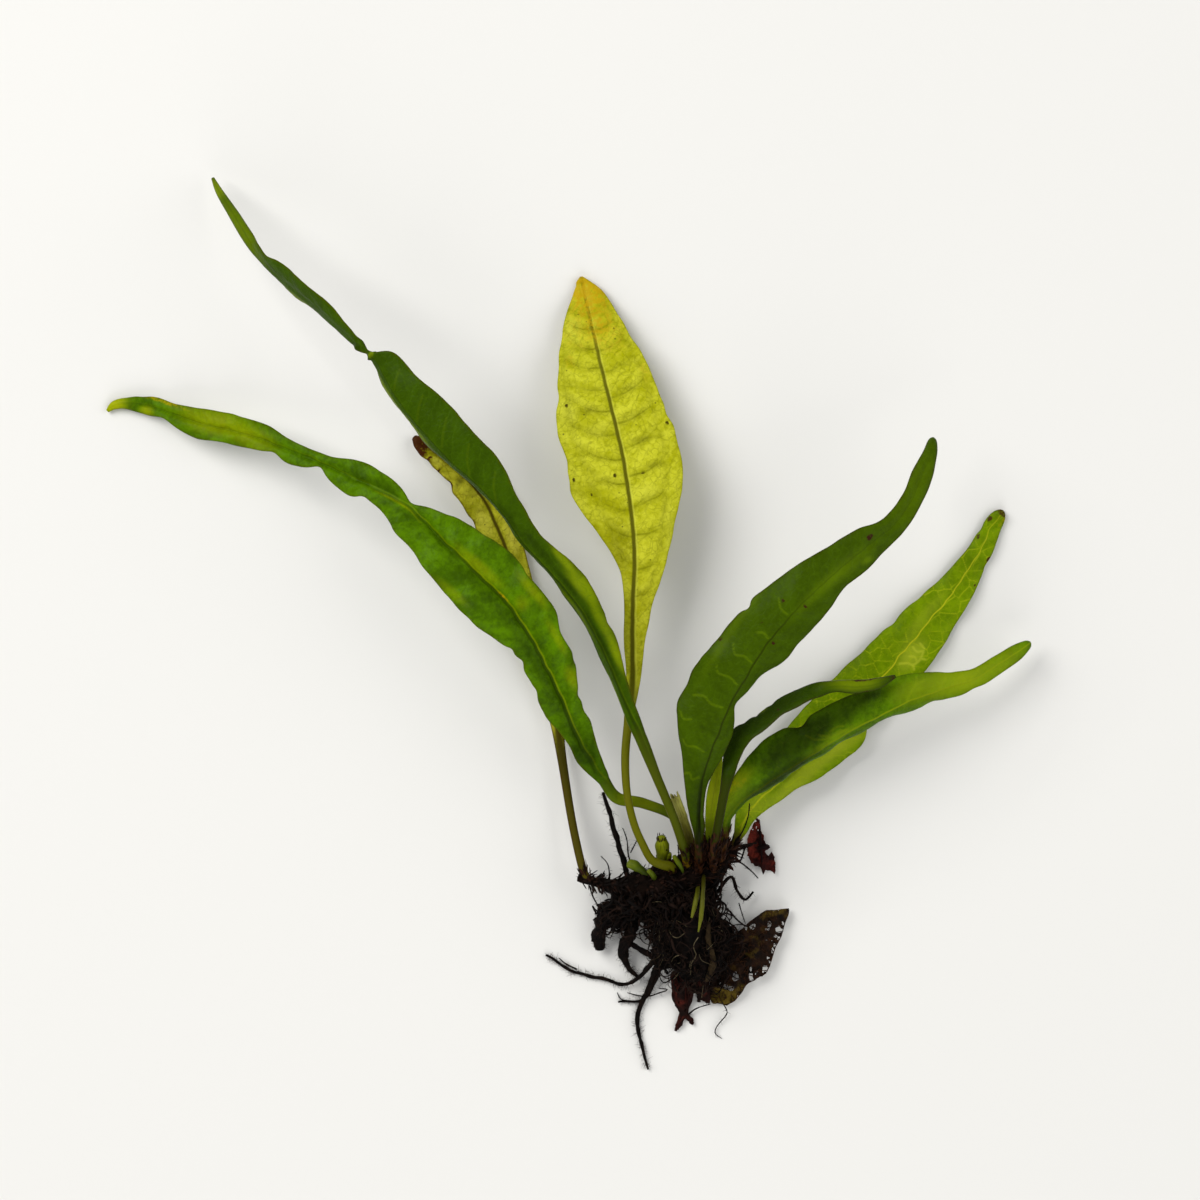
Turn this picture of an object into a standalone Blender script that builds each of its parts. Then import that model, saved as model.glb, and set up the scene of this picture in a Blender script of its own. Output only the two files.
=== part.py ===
"""A bare-root java fern lying on a flat surface: nine fronds, the rhizome that carries them, and its roots.

X runs across the plant, Y from the roots to the frond tips, Z up from the surface that it lies on.
The origin is on that surface, under the middle of the plant. Routes and stations are in millimetres.
"""
import math

import bmesh
import bpy
from mathutils import Vector, noise

MM = 0.001
PART_GAP = 0.3

BLADE_HALF_THICKNESS = 0.26
EDGE_HALF_THICKNESS = 0.15
RIB_HALF_THICKNESS = 0.5
ROUND_BELOW = 0.85
FLAT_ABOVE = 1.7
RING_SPACING = 3.2
BLADE_FRACTIONS = (-1.0, -0.5, 0.0, 0.5, 1.0)
FULL_WAVE_HALF_WIDTH = 4.0

ROOT_SIDES = 6
ROOT_SPACING = 2.6
FLOOR_BLOCK_SIZE = 400.0
FLOOR_BLOCK_DEPTH = 20.0

# Each station along a frond's midrib: x, y, height, left half width, right half width,
# then the tilt of the left half and of the right half in degrees, where a raised edge is positive.
YELLOW_FROND = [
    (17.7, -41.5, 8.6, 0.8, 0.8, 0, 0),
    (16.9, -40.8, 10.9, 0.84, 0.84, 0, 0),
    (15.4, -40.4, 12.1, 0.77, 0.77, 0, 0),
    (13.8, -39.5, 12.6, 0.7, 0.7, 0, 0),
    (12.4, -37.0, 13.0, 0.66, 0.66, 0, 0),
    (10.9, -33.4, 13.2, 0.65, 0.65, 0, 0),
    (9.8, -28.4, 13.1, 0.65, 0.65, 0, 0),
    (9.5, -22.5, 12.6, 0.7, 0.7, 0, 0),
    (10.0, -16.5, 12.0, 0.75, 0.75, 0, 0),
    (10.8, -9.5, 11.6, 1.0, 1.25, 5, 0),
    (10.8, -3.0, 11.6, 1.5, 2.0, 8, -4),
    (10.8, 4.0, 11.8, 1.5, 3.5, 10, -6),
    (11.0, 9.0, 12.0, 2.5, 5.0, 10, -6),
    (10.8, 15.0, 12.0, 5.5, 7.0, 8, -6),
    (10.0, 21.5, 11.4, 9.0, 9.25, 6, -6),
    (9.0, 28.0, 10.2, 9.5, 9.75, 4, -6),
    (7.3, 35.5, 8.4, 9.5, 8.75, 2, -5),
    (5.5, 43.0, 6.0, 7.5, 7.5, 0, -4),
    (3.8, 50.5, 3.2, 5.0, 5.0, 0, -3),
    (2.7, 55.5, 1.4, 2.25, 3.25, 0, 0),
    (2.1, 58.8, 0.5, 0.3, 0.3, 0, 0),
]
LEFT_FROND = [
    (20.6, -40.5, 6.6, 0.75, 0.75, 0, 0),
    (19.8, -36.5, 8.0, 0.75, 0.75, 0, 0),
    (17.8, -32.6, 8.0, 0.8, 0.8, 0, 0),
    (12.5, -30.3, 8.6, 0.9, 0.9, 0, 0),
    (8.2, -29.4, 9.8, 1.0, 1.0, 0, 0),
    (6.0, -26.5, 11.0, 1.0, 1.0, 0, 0),
    (4.0, -22.5, 12.5, 2.5, 1.5, 15, 15),
    (1.5, -17.5, 13.6, 3.0, 2.5, 15, 15),
    (-0.8, -12.3, 15.0, 4.25, 3.0, 14, 16),
    (-5.0, -4.0, 17.0, 4.0, 5.5, 10, 14),
    (-9.5, 2.7, 18.0, 6.0, 5.75, 8, 10),
    (-14.0, 7.0, 18.2, 6.0, 6.5, 8, 8),
    (-18.3, 10.8, 18.0, 5.5, 5.75, 8, 8),
    (-22.3, 15.0, 17.2, 5.5, 4.25, 8, 10),
    (-26.0, 19.5, 16.0, 5.0, 1.25, 8, 14),
    (-30.8, 22.3, 14.6, 3.0, 2.5, 10, 12),
    (-35.8, 24.3, 12.8, 3.0, 3.0, 10, 10),
    (-41.0, 26.5, 11.0, 1.6, 1.75, 12, 12),
    (-46.5, 28.8, 9.0, 2.0, 1.75, 10, 10),
    (-51.8, 31.0, 7.2, 2.0, 2.5, 8, 8),
    (-57.0, 32.5, 5.6, 2.25, 2.75, 6, 8),
    (-62.5, 33.8, 4.0, 2.5, 2.5, 4, 6),
    (-67.3, 35.5, 2.6, 1.75, 1.75, 4, 4),
    (-71.3, 36.8, 1.5, 1.5, 1.75, 4, 2),
    (-75.0, 37.3, 1.0, 1.0, 1.0, 0, 0),
    (-77.2, 37.0, 0.8, 0.75, 0.75, 0, 0),
    (-78.4, 36.0, 0.7, 0.3, 0.3, 0, 0),
]
BENT_FROND = [
    (20.1, -41.2, 7.9, 0.8, 0.8, 0, 0),
    (19.6, -38.6, 12.2, 0.8, 0.8, 0, 0),
    (18.3, -34.5, 14.2, 0.75, 0.75, 0, 0),
    (16.7, -30.3, 14.8, 0.75, 0.75, 0, 0),
    (14.8, -25.8, 15.4, 0.8, 0.8, 0, 0),
    (12.8, -20.8, 16.2, 0.9, 1.0, -20, 10),
    (11.2, -17.0, 17.0, 1.2, 1.1, -45, 15),
    (8.8, -11.5, 18.4, 2.0, 1.6, -65, 20),
    (5.5, -3.8, 20.2, 2.5, 2.9, -70, 25),
    (1.7, 3.0, 21.6, 2.5, 3.9, -70, 28),
    (-2.7, 8.3, 22.8, 2.5, 4.25, -82, 28),
    (-7.2, 13.2, 24.0, 2.5, 3.25, -84, 25),
    (-10.8, 18.3, 24.8, 2.75, 3.75, -84, 20),
    (-15.0, 23.0, 25.2, 3.25, 5.5, -84, 16),
    (-20.0, 27.5, 25.6, 3.5, 6.25, -80, 14),
    (-25.8, 34.0, 25.4, 3.0, 6.0, -74, 14),
    (-29.0, 38.5, 25.0, 3.0, 4.75, -74, 16),
    (-31.4, 42.9, 24.2, 2.25, 3.4, -72, 25),
    (-32.8, 44.6, 23.8, 0.55, 0.55, -60, 50),
    (-34.0, 45.5, 23.2, 0.6, 0.7, -60, 55),
    (-37.0, 48.3, 22.0, 2.25, 2.5, -72, 58),
    (-42.5, 53.3, 19.6, 2.75, 4.0, -74, 60),
    (-47.5, 57.5, 17.0, 2.75, 3.25, -74, 60),
    (-50.5, 60.3, 15.0, 2.25, 2.25, -72, 60),
    (-53.5, 64.3, 12.0, 1.25, 1.25, -60, 55),
    (-56.5, 69.0, 8.6, 0.9, 0.9, -40, 40),
    (-59.0, 72.8, 5.2, 0.65, 0.65, -20, 20),
    (-60.3, 75.3, 3.0, 0.3, 0.3, 0, 0),
]
OLD_FROND = [
    (3.2, -43.3, 5.8, 0.7, 0.7, 0, 0),
    (2.2, -41.0, 5.4, 0.7, 0.7, 0, 0),
    (0.5, -33.3, 4.4, 0.7, 0.7, 0, 0),
    (-1.2, -22.8, 3.4, 0.8, 0.8, 0, 0),
    (-2.3, -15.5, 2.8, 1.25, 1.25, 5, 5),
    (-4.0, -8.8, 2.4, 2.0, 2.0, 5, 5),
    (-5.8, -2.8, 2.0, 3.0, 3.0, 5, 5),
    (-8.0, 4.8, 1.6, 3.75, 2.4, 6, 4),
    (-10.2, 12.5, 1.5, 4.0, 2.6, 8, 2),
    (-12.2, 17.2, 1.6, 4.0, 3.5, 12, 0),
    (-14.0, 20.7, 1.9, 4.25, 3.5, 20, 0),
    (-16.7, 23.7, 2.3, 4.0, 2.75, 35, 5),
    (-20.7, 27.0, 2.4, 3.0, 2.0, 45, 15),
    (-24.0, 29.5, 1.8, 2.25, 1.75, 50, 25),
    (-26.3, 31.5, 0.9, 0.5, 0.5, 20, 10),
]
TALL_FROND = [
    (21.9, -41.6, 9.0, 0.75, 0.75, 0, 0),
    (21.8, -38.8, 13.0, 0.75, 0.75, 0, 0),
    (21.8, -36.0, 14.6, 0.75, 0.75, 0, 0),
    (21.8, -31.5, 16.4, 1.75, 0.75, -5, -10),
    (22.0, -27.8, 18.0, 2.5, 1.0, -8, -20),
    (22.5, -24.8, 19.2, 3.75, 1.75, -10, -25),
    (23.8, -20.8, 21.0, 6.0, 2.5, -12, -28),
    (25.2, -17.5, 22.4, 8.25, 2.75, -12, -35),
    (27.0, -13.2, 24.0, 8.9, 1.75, -12, -45),
    (29.5, -9.0, 25.8, 8.0, 2.25, -10, -40),
    (32.0, -4.8, 27.0, 7.25, 4.0, -10, -30),
    (35.3, -0.3, 28.0, 6.6, 4.25, -8, -25),
    (39.5, 4.3, 28.6, 5.5, 4.0, -6, -20),
    (44.5, 8.8, 28.0, 4.25, 3.25, -4, -15),
    (49.3, 12.8, 26.6, 3.25, 2.75, 0, -10),
    (53.8, 16.3, 24.6, 2.0, 2.0, 5, -5),
    (56.8, 20.3, 22.0, 1.75, 1.75, 8, 0),
    (58.8, 24.5, 19.0, 1.75, 1.75, 8, 0),
    (60.3, 28.0, 16.2, 1.25, 1.0, 5, 0),
    (61.0, 31.0, 14.0, 0.3, 0.3, 0, 0),
]
VEINED_FROND = [
    (26.6, -39.2, 6.6, 0.7, 0.7, 0, 0),
    (28.4, -36.4, 5.6, 0.75, 0.75, 0, 0),
    (31.0, -31.3, 4.0, 2.5, 1.75, -4, -4),
    (35.8, -27.0, 2.8, 4.0, 2.75, -6, -6),
    (40.8, -22.3, 2.2, 5.0, 4.25, -6, -6),
    (45.8, -17.8, 1.9, 5.5, 4.8, -6, -6),
    (50.0, -13.0, 1.8, 5.75, 4.25, -6, -6),
    (54.3, -8.5, 1.8, 5.75, 4.5, -6, -6),
    (57.8, -3.8, 1.8, 5.0, 4.75, -6, -6),
    (61.5, 1.0, 1.7, 4.0, 4.25, -6, -6),
    (65.3, 5.5, 1.5, 3.0, 3.25, -5, -5),
    (69.3, 11.5, 1.2, 2.0, 2.25, -4, -4),
    (71.5, 15.8, 0.9, 1.5, 1.5, 0, 0),
    (72.8, 17.8, 0.7, 1.0, 1.0, 0, 0),
    (73.8, 19.0, 0.5, 0.3, 0.3, 0, 0),
]
FOLDED_FROND = [
    (25.4, -40.4, 8.4, 0.75, 0.75, 0, 0),
    (25.9, -37.0, 10.6, 0.75, 0.75, 0, 0),
    (26.5, -33.0, 11.4, 1.5, 0.75, 10, -30),
    (29.0, -29.8, 12.2, 3.5, 1.25, 12, -60),
    (32.5, -27.3, 13.0, 5.25, 2.25, 12, -68),
    (37.0, -24.3, 14.0, 6.5, 2.5, 10, -70),
    (42.5, -20.8, 14.6, 6.0, 2.5, 8, -70),
    (47.0, -18.0, 14.8, 5.5, 2.75, 8, -68),
    (52.3, -15.3, 14.4, 5.0, 2.25, 6, -65),
    (57.0, -13.0, 13.4, 4.5, 2.75, 4, -55),
    (62.8, -11.0, 11.4, 3.0, 2.25, 2, -35),
    (68.0, -9.5, 9.4, 1.75, 1.75, 4, -15),
    (72.3, -7.0, 7.6, 1.5, 1.5, 0, -5),
    (75.5, -5.0, 6.2, 1.25, 1.25, 0, 0),
    (78.0, -3.3, 5.0, 0.3, 0.3, 0, 0),
]
TWISTED_FROND = [
    (24.4, -41.4, 9.0, 0.75, 0.75, 0, 0),
    (24.3, -38.6, 13.0, 0.75, 0.75, 0, 0),
    (25.2, -32.8, 15.0, 0.75, 0.75, 0, 0),
    (26.0, -28.3, 16.2, 0.8, 0.8, -15, 15),
    (26.8, -24.5, 17.0, 1.25, 1.0, -30, 25),
    (27.8, -20.8, 17.8, 2.25, 1.75, -40, 35),
    (29.3, -18.3, 18.6, 2.25, 2.0, -45, 40),
    (31.8, -16.5, 19.2, 2.0, 2.0, -50, 45),
    (35.3, -14.0, 19.6, 2.0, 2.0, -50, 50),
    (39.3, -11.8, 19.8, 1.75, 1.75, -45, 45),
    (43.8, -10.5, 19.4, 1.0, 1.0, -10, 10),
    (48.0, -10.5, 18.8, 1.25, 1.25, 40, -40),
    (51.5, -10.0, 18.0, 1.0, 1.0, 45, -45),
    (54.5, -8.8, 17.2, 0.3, 0.3, 20, -20),
]
YOUNG_FROND = [
    (23.4, -40.2, 8.0, 0.5, 0.5, 0, 0),
    (23.6, -36.8, 10.4, 0.55, 0.55, 0, 0),
    (23.7, -33.2, 11.4, 0.8, 0.8, 10, -10),
    (24.2, -29.2, 12.6, 1.1, 1.1, 15, -15),
    (24.7, -26.3, 13.4, 1.0, 1.0, 20, -10),
    (25.2, -24.0, 13.8, 0.6, 0.6, 10, 0),
    (25.5, -22.3, 14.0, 0.25, 0.25, 0, 0),
]
DEAD_LEAF = [
    (31.8, -33.2, 1.0, 0.3, 0.3, 0, 0),
    (31.8, -35.0, 0.9, 0.8, 0.5, 0, 0),
    (32.0, -37.5, 0.9, 2.0, 1.25, 5, 10),
    (32.4, -39.5, 0.9, 1.5, 2.0, 5, 14),
    (33.4, -41.2, 0.8, 0.75, 2.0, 5, 10),
    (34.6, -42.6, 0.7, 0.4, 0.75, 0, 0),
]
SKELETON_LEAF = [
    (24.6, -63.6, 1.2, 1.0, 1.25, 0, 0),
    (26.2, -61.6, 1.6, 2.0, 2.25, 0, 0),
    (28.6, -58.6, 2.2, 3.0, 3.75, 5, -5),
    (31.2, -55.0, 2.8, 3.5, 4.25, 5, -8),
    (34.2, -51.4, 2.6, 2.75, 3.25, 10, -8),
    (36.2, -49.2, 1.9, 1.25, 1.75, 5, -5),
    (37.4, -48.0, 1.4, 0.4, 0.4, 0, 0),
]
WITHERED_SCRAP = [
    (18.6, -58.8, 2.4, 1.0, 1.0, 0, 0),
    (18.5, -60.5, 2.2, 1.25, 1.25, 10, 10),
    (18.6, -63.0, 1.6, 1.4, 1.25, 15, 10),
    (19.3, -65.5, 1.0, 0.9, 0.9, 10, 10),
    (20.2, -67.4, 0.7, 0.4, 0.4, 0, 0),
    (21.0, -68.6, 0.5, 0.25, 0.25, 0, 0),
]

# Wave height and length along each blade's edges.
FROND_WAVES = {
    "yellow_frond": (0.25, 9.0),
    "left_frond": (0.8, 9.5),
    "bent_frond": (0.3, 12.0),
    "old_frond": (0.3, 8.0),
    "tall_right_frond": (0.5, 11.0),
    "veined_frond": (0.3, 10.0),
    "folded_frond": (0.35, 9.0),
    "twisted_frond": (0.2, 8.0),
    "young_frond": (0.0, 8.0),
    "dead_leaf": (0.2, 3.0),
    "skeleton_leaf": (0.4, 6.0),
    "withered_scrap": (0.3, 3.0),
}

# Each point of a stalk or root: x, y, height and radius.
RHIZOME_ROUTE = [
    (1.8, -43.0, 5.4, 0.75),
    (4.6, -43.7, 5.7, 0.8),
    (7.8, -44.4, 6.1, 1.3),
    (10.8, -44.5, 6.4, 2.3),
    (14.5, -43.8, 6.6, 2.7),
    (19.0, -42.4, 6.8, 2.9),
    (22.8, -40.3, 6.8, 3.1),
    (25.6, -39.0, 6.5, 2.4),
    (27.4, -38.2, 6.1, 1.2),
]
BUD = [
    (16.1, -41.4, 7.4, 0.8),
    (15.9, -39.4, 8.8, 1.1),
    (15.8, -38.4, 9.5, 1.15),
    (15.7, -37.2, 10.1, 1.1),
    (15.6, -36.2, 10.6, 0.75),
]
CUT_STALK = [
    (21.3, -39.8, 8.6, 0.75),
    (20.6, -37.2, 10.2, 0.78),
    (19.8, -34.6, 11.2, 0.78),
    (19.0, -32.0, 11.8, 0.78),
    (17.9, -29.2, 12.2, 0.85),
]
PALE_STUB = [(13.2, -42.4, 8.2, 0.6), (12.2, -41.5, 8.8, 0.68), (11.2, -40.8, 9.0, 0.86), (10.4, -40.5, 8.9, 0.8)]
SMALL_STUB = [(14.5, -43.0, 8.8, 0.45), (14.1, -42.3, 10.0, 0.46), (13.5, -41.6, 10.4, 0.4)]
POINTED_STUB = [
    (19.3, -42.2, 9.0, 0.18),
    (19.1, -41.5, 10.2, 0.26),
    (18.6, -40.5, 10.8, 0.4),
    (17.75, -39.2, 11.0, 0.38),
]
LONG_GREEN_TIP = [
    (22.8, -42.2, 8.6, 0.34),
    (22.6, -44.4, 11.4, 0.34),
    (22.3, -48.4, 12.4, 0.38),
    (21.8, -51.6, 12.0, 0.14),
]
SHORT_GREEN_TIP = [
    (21.9, -43.8, 6.6, 0.36),
    (21.6, -45.4, 10.4, 0.4),
    (21.2, -47.4, 11.4, 0.42),
    (20.7, -49.3, 11.2, 0.2),
]

# The tangled middle of the roots, as lumps: centre and size.
ROOT_LUMPS = [
    ((17.5, -46.8, 3.9), (6.2, 4.4, 4.5)),
    ((20.2, -51.5, 4.4), (6.2, 6.4, 5.3)),
    ((21.6, -56.8, 3.3), (5.0, 4.6, 4.1)),
    ((11.8, -46.4, 4.0), (3.8, 3.2, 3.8)),
    ((16.4, -54.8, 3.2), (2.6, 4.2, 3.2)),
    ((25.0, -53.6, 3.2), (3.4, 4.2, 3.0)),
    ((7.8, -49.2, 3.2), (2.7, 2.8, 3.0)),
]
ROOT_ROUTES = [
    [(8.6, -47.6, 4.4, 0.9), (6.4, -49.0, 4.0, 1.0), (5.4, -51.2, 3.2, 1.05), (5.2, -53.6, 2.2, 1.1),
     (5.2, -55.3, 1.5, 0.8)],
    [(11.5, -48.6, 4.0, 0.8), (10.2, -52.6, 3.0, 0.9), (9.2, -55.8, 2.3, 0.92), (9.8, -58.0, 1.6, 0.5),
     (11.7, -60.0, 1.0, 0.26)],
    [(11.5, -47.0, 2.6, 0.45), (10.2, -43.2, 2.4, 0.46), (8.7, -38.6, 3.2, 0.46), (7.3, -33.5, 3.8, 0.42),
     (5.7, -28.6, 3.4, 0.26)],
    [(14.8, -56.5, 2.8, 0.4), (10.8, -61.0, 1.2, 0.32), (5.8, -60.5, 0.6, 0.3), (1.0, -59.2, 0.5, 0.28),
     (-4.1, -56.4, 0.4, 0.2)],
    [(15.5, -56.5, 2.8, 0.5), (13.6, -61.8, 1.4, 0.44), (12.2, -65.0, 0.7, 0.42), (11.7, -68.4, 0.6, 0.36),
     (13.4, -75.9, 0.4, 0.18)],
    [(16.0, -57.0, 2.6, 0.35), (13.2, -63.4, 0.8, 0.25), (8.3, -64.4, 0.5, 0.18)],
    [(22.0, -50.0, 3.0, 0.4), (24.4, -45.6, 2.4, 0.36), (26.4, -42.0, 2.2, 0.32), (28.2, -38.8, 2.6, 0.28),
     (31.0, -37.5, 2.4, 0.2)],
    [(23.0, -50.0, 4.0, 0.36), (25.6, -44.8, 4.2, 0.3), (27.4, -42.8, 3.8, 0.28), (28.4, -45.4, 3.2, 0.25),
     (30.0, -46.8, 2.4, 0.22), (31.4, -45.6, 1.8, 0.18)],
    [(21.8, -58.0, 2.6, 0.6), (22.2, -61.5, 1.5, 0.5), (22.0, -64.4, 0.8, 0.3)],
]


def between(rows, index, t):
    """Smooth curve through the rows: the value at fraction t between one row and the next."""
    before = rows[max(index - 1, 0)]
    start = rows[index]
    end = rows[index + 1]
    after = rows[min(index + 2, len(rows) - 1)]
    values = []
    for a, b, c, d in zip(before, start, end, after):
        slope_in = (c - a) / 2
        slope_out = (d - b) / 2
        bend = 2 * t ** 3 - 3 * t ** 2
        leaving = (t ** 3 - 2 * t ** 2 + t) * slope_in
        arriving = (t ** 3 - t ** 2) * slope_out
        values.append(b + leaving + arriving - bend * (c - b))
    return values


def spread(rows, spacing):
    """Rows at about equal steps along the curve, each with its distance from the start added."""
    fine = [rows[0]]
    steps = 12
    for index in range(len(rows) - 1):
        fine += [between(rows, index, (step + 1) / steps) for step in range(steps)]
    distance = [0.0]
    for a, b in zip(fine, fine[1:]):
        distance.append(distance[-1] + (Vector(b[:3]) - Vector(a[:3])).length)
    count = max(3, round(distance[-1] / spacing))
    picked = []
    at = 0
    for step in range(count + 1):
        goal = distance[-1] * step / count
        while at < len(distance) - 2 and distance[at + 1] < goal:
            at += 1
        part = (goal - distance[at]) / (distance[at + 1] - distance[at])
        part = min(max(part, 0.0), 1.0)
        row = [a + (b - a) * part for a, b in zip(fine[at], fine[at + 1])]
        picked.append(row + [goal])
    return picked


def directions(rows):
    """The direction of travel at each row."""
    result = []
    for index in range(len(rows)):
        a = Vector(rows[max(index - 1, 0)][:3])
        b = Vector(rows[min(index + 1, len(rows) - 1)][:3])
        result.append((b - a).normalized())
    return result


def add_loft(mesh, rings):
    """Adds a closed body whose skin runs through the rings, each a list of points in the same order."""
    sides = len(rings[0])
    made = bmesh.ops.create_circle(mesh, cap_ends=False, segments=sides, radius=1.0)
    ring = made["verts"]
    for vert, point in zip(ring, rings[0]):
        vert.co = point * MM
    first = list(ring)
    for points in rings[1:]:
        edges = [mesh.edges.get((ring[i], ring[(i + 1) % sides])) for i in range(sides)]
        grown = bmesh.ops.extrude_edge_only(mesh, edges=edges)["geom"]
        new = {item for item in grown if isinstance(item, bmesh.types.BMVert)}
        following = []
        for vert in ring:
            ends = [edge.other_vert(vert) for edge in vert.link_edges]
            following.append(next(end for end in ends if end in new))
        for vert, point in zip(following, points):
            vert.co = point * MM
        ring = following
    for end_ring in (first, ring):
        bmesh.ops.contextual_create(mesh, geom=end_ring)
    return mesh


def blade_ring(row, travel, wave):
    """One ring of a frond: a round stalk where it is narrow, two tilted half blades where it is wide."""
    x, y, z, left, right, left_tilt, right_tilt, distance = row
    centre = Vector((x, y, z))
    leftward = Vector((0, 0, 1)).cross(travel).normalized()
    upward = travel.cross(leftward).normalized()
    wave_height, wave_length = wave
    widest = max(left, right)
    flatness = min(max((widest - ROUND_BELOW) / (FLAT_ABOVE - ROUND_BELOW), 0.0), 1.0)
    halves = {}
    for side, half, tilt in ((-1, left, left_tilt), (1, right, right_tilt)):
        angle = math.radians(tilt)
        outward = leftward * -side * math.cos(angle) + upward * math.sin(angle)
        normal = upward * math.cos(angle) + leftward * side * math.sin(angle)
        halves[side] = (half, outward, normal)
    middle_normal = (halves[-1][2] + halves[1][2]).normalized()
    ring = []
    for face in (1, -1):
        fractions = BLADE_FRACTIONS if face == 1 else tuple(reversed(BLADE_FRACTIONS))
        for fraction in fractions:
            side = -1 if fraction < 0 else 1
            half, outward, normal = halves[side]
            reach = abs(fraction)
            thickness = BLADE_HALF_THICKNESS
            if reach == 0:
                normal = middle_normal
                thickness = min(RIB_HALF_THICKNESS, 0.35 + widest * 0.05)
            if reach == 1:
                thickness = EDGE_HALF_THICKNESS
            thickness = min(thickness, widest)
            wave_size = wave_height * min(half / FULL_WAVE_HALF_WIDTH, 1.0) * reach ** 2
            lift = wave_size * math.sin(2 * math.pi * distance / wave_length + side)
            flat = centre + outward * half * reach + normal * (face * thickness + lift)
            angle = math.radians(face * (90 - fraction * 72))
            around = centre + (leftward * -math.cos(angle) + upward * math.sin(angle)) * widest
            ring.append(around.lerp(flat, flatness))
    return ring


def new_object(name, mesh, material):
    """Turns a bmesh into a named, smooth-shaded object with its faces pointing out."""
    bmesh.ops.recalc_face_normals(mesh, faces=mesh.faces)
    data = bpy.data.meshes.new(name)
    mesh.to_mesh(data)
    mesh.free()
    thing = bpy.data.objects.new(name, data)
    bpy.context.collection.objects.link(thing)
    data.materials.append(material)
    data.shade_smooth()
    data.set_sharp_from_angle(angle=math.radians(60))
    return thing


def make_blade(name, stations, material):
    """A frond, or a dead leaf, in one closed solid from its stalk to its tip."""
    rows = spread(stations, RING_SPACING)
    travels = directions(rows)
    mesh = bmesh.new()
    add_loft(mesh, [blade_ring(row, travel, FROND_WAVES[name]) for row, travel in zip(rows, travels)])
    return new_object(name, mesh, material)


def tube_rings(route, spacing, sides):
    """Rings of a round root or stalk along its route."""
    rows = spread(route, spacing)
    rings = []
    for row, travel in zip(rows, directions(rows)):
        x, y, z, radius = row[:4]
        across = travel.cross(Vector((0, 0, 1))).normalized()
        upward = across.cross(travel).normalized()
        ring = []
        for index in range(sides):
            angle = 2 * math.pi * index / sides
            ring.append(Vector((x, y, z)) + (across * math.cos(angle) + upward * math.sin(angle)) * radius)
        rings.append(ring)
    return rings


def make_stalk(name, route, material, spacing=1.6, sides=8):
    """A stub, bud or root tip: a short round body along its route."""
    mesh = bmesh.new()
    add_loft(mesh, tube_rings(route, spacing, sides))
    return new_object(name, mesh, material)


def add_lump(mesh, centre, size, seed):
    """Adds an uneven lump of tangled roots."""
    made = bmesh.ops.create_icosphere(mesh, subdivisions=2, radius=1.0)
    for vert in made["verts"]:
        direction = vert.co.normalized()
        swell = 1.0 + 0.3 * noise.noise(direction * 1.7 + Vector((seed, 0, 0)))
        vert.co = (Vector(centre) + Vector([d * s for d, s in zip(direction, size)]) * swell) * MM


def make_root_mass(name, extra, routes, material):
    """The roots: their tangled middle, grown by extra, with the single roots that run out of it."""
    mesh = bmesh.new()
    for seed, (centre, size) in enumerate(ROOT_LUMPS):
        add_lump(mesh, centre, [side + extra for side in size], seed)
    for route in routes:
        add_loft(mesh, tube_rings(route, ROOT_SPACING, ROOT_SIDES))
    return new_object(name, mesh, material)


def hide_cutter(thing):
    """Keeps a cutting shape out of renders and draws it as wire."""
    thing.hide_render = True
    thing.display_type = "WIRE"


def cut(thing, cutter, own_overlaps=False):
    """Takes the cutter's shape away from an object, after joining what overlaps inside it."""
    boolean = thing.modifiers.new("Cut " + cutter.name, "BOOLEAN")
    boolean.operation = "DIFFERENCE"
    boolean.solver = "EXACT"
    boolean.use_self = own_overlaps
    boolean.object = cutter


def make_material(name, colour, roughness):
    """A plain surface with the piece's own colour."""
    material = bpy.data.materials.new(name)
    material.use_nodes = True
    shader = material.node_tree.nodes["Principled BSDF"]
    shader.inputs["Base Color"].default_value = (*colour, 1.0)
    shader.inputs["Roughness"].default_value = roughness
    shader.inputs["Metallic"].default_value = 0.0
    return material


def make_rhizome(name, extra, material):
    """The creeping stem, or the same shape grown by extra for cutting what grows from it."""
    route = [(x, y, z, radius + extra) for x, y, z, radius in RHIZOME_ROUTE]
    first = Vector(route[0][:3])
    second = Vector(route[1][:3])
    last = Vector(route[-1][:3])
    before_last = Vector(route[-2][:3])
    start = first - (second - first).normalized() * extra
    end = last + (last - before_last).normalized() * extra
    route[0] = (*start, route[0][3])
    route[-1] = (*end, route[-1][3])
    mesh = bmesh.new()
    add_loft(mesh, tube_rings(route, 2.2, 10))
    return new_object(name, mesh, material)


def make_floor_block():
    """A block below the surface, which gives the roots their flat underside."""
    mesh = bmesh.new()
    bmesh.ops.create_cube(mesh, size=1.0)
    size = Vector((FLOOR_BLOCK_SIZE, FLOOR_BLOCK_SIZE, FLOOR_BLOCK_DEPTH)) * MM
    bmesh.ops.scale(mesh, vec=size, verts=mesh.verts)
    bmesh.ops.translate(mesh, vec=Vector((0, 0, -size.z / 2)), verts=mesh.verts)
    block = new_object("floor_block", mesh, bpy.data.materials["root black brown"])
    hide_cutter(block)
    return block


def clear_scene():
    """Starts from an empty scene."""
    for thing in list(bpy.data.objects):
        bpy.data.objects.remove(thing, do_unlink=True)


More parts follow.
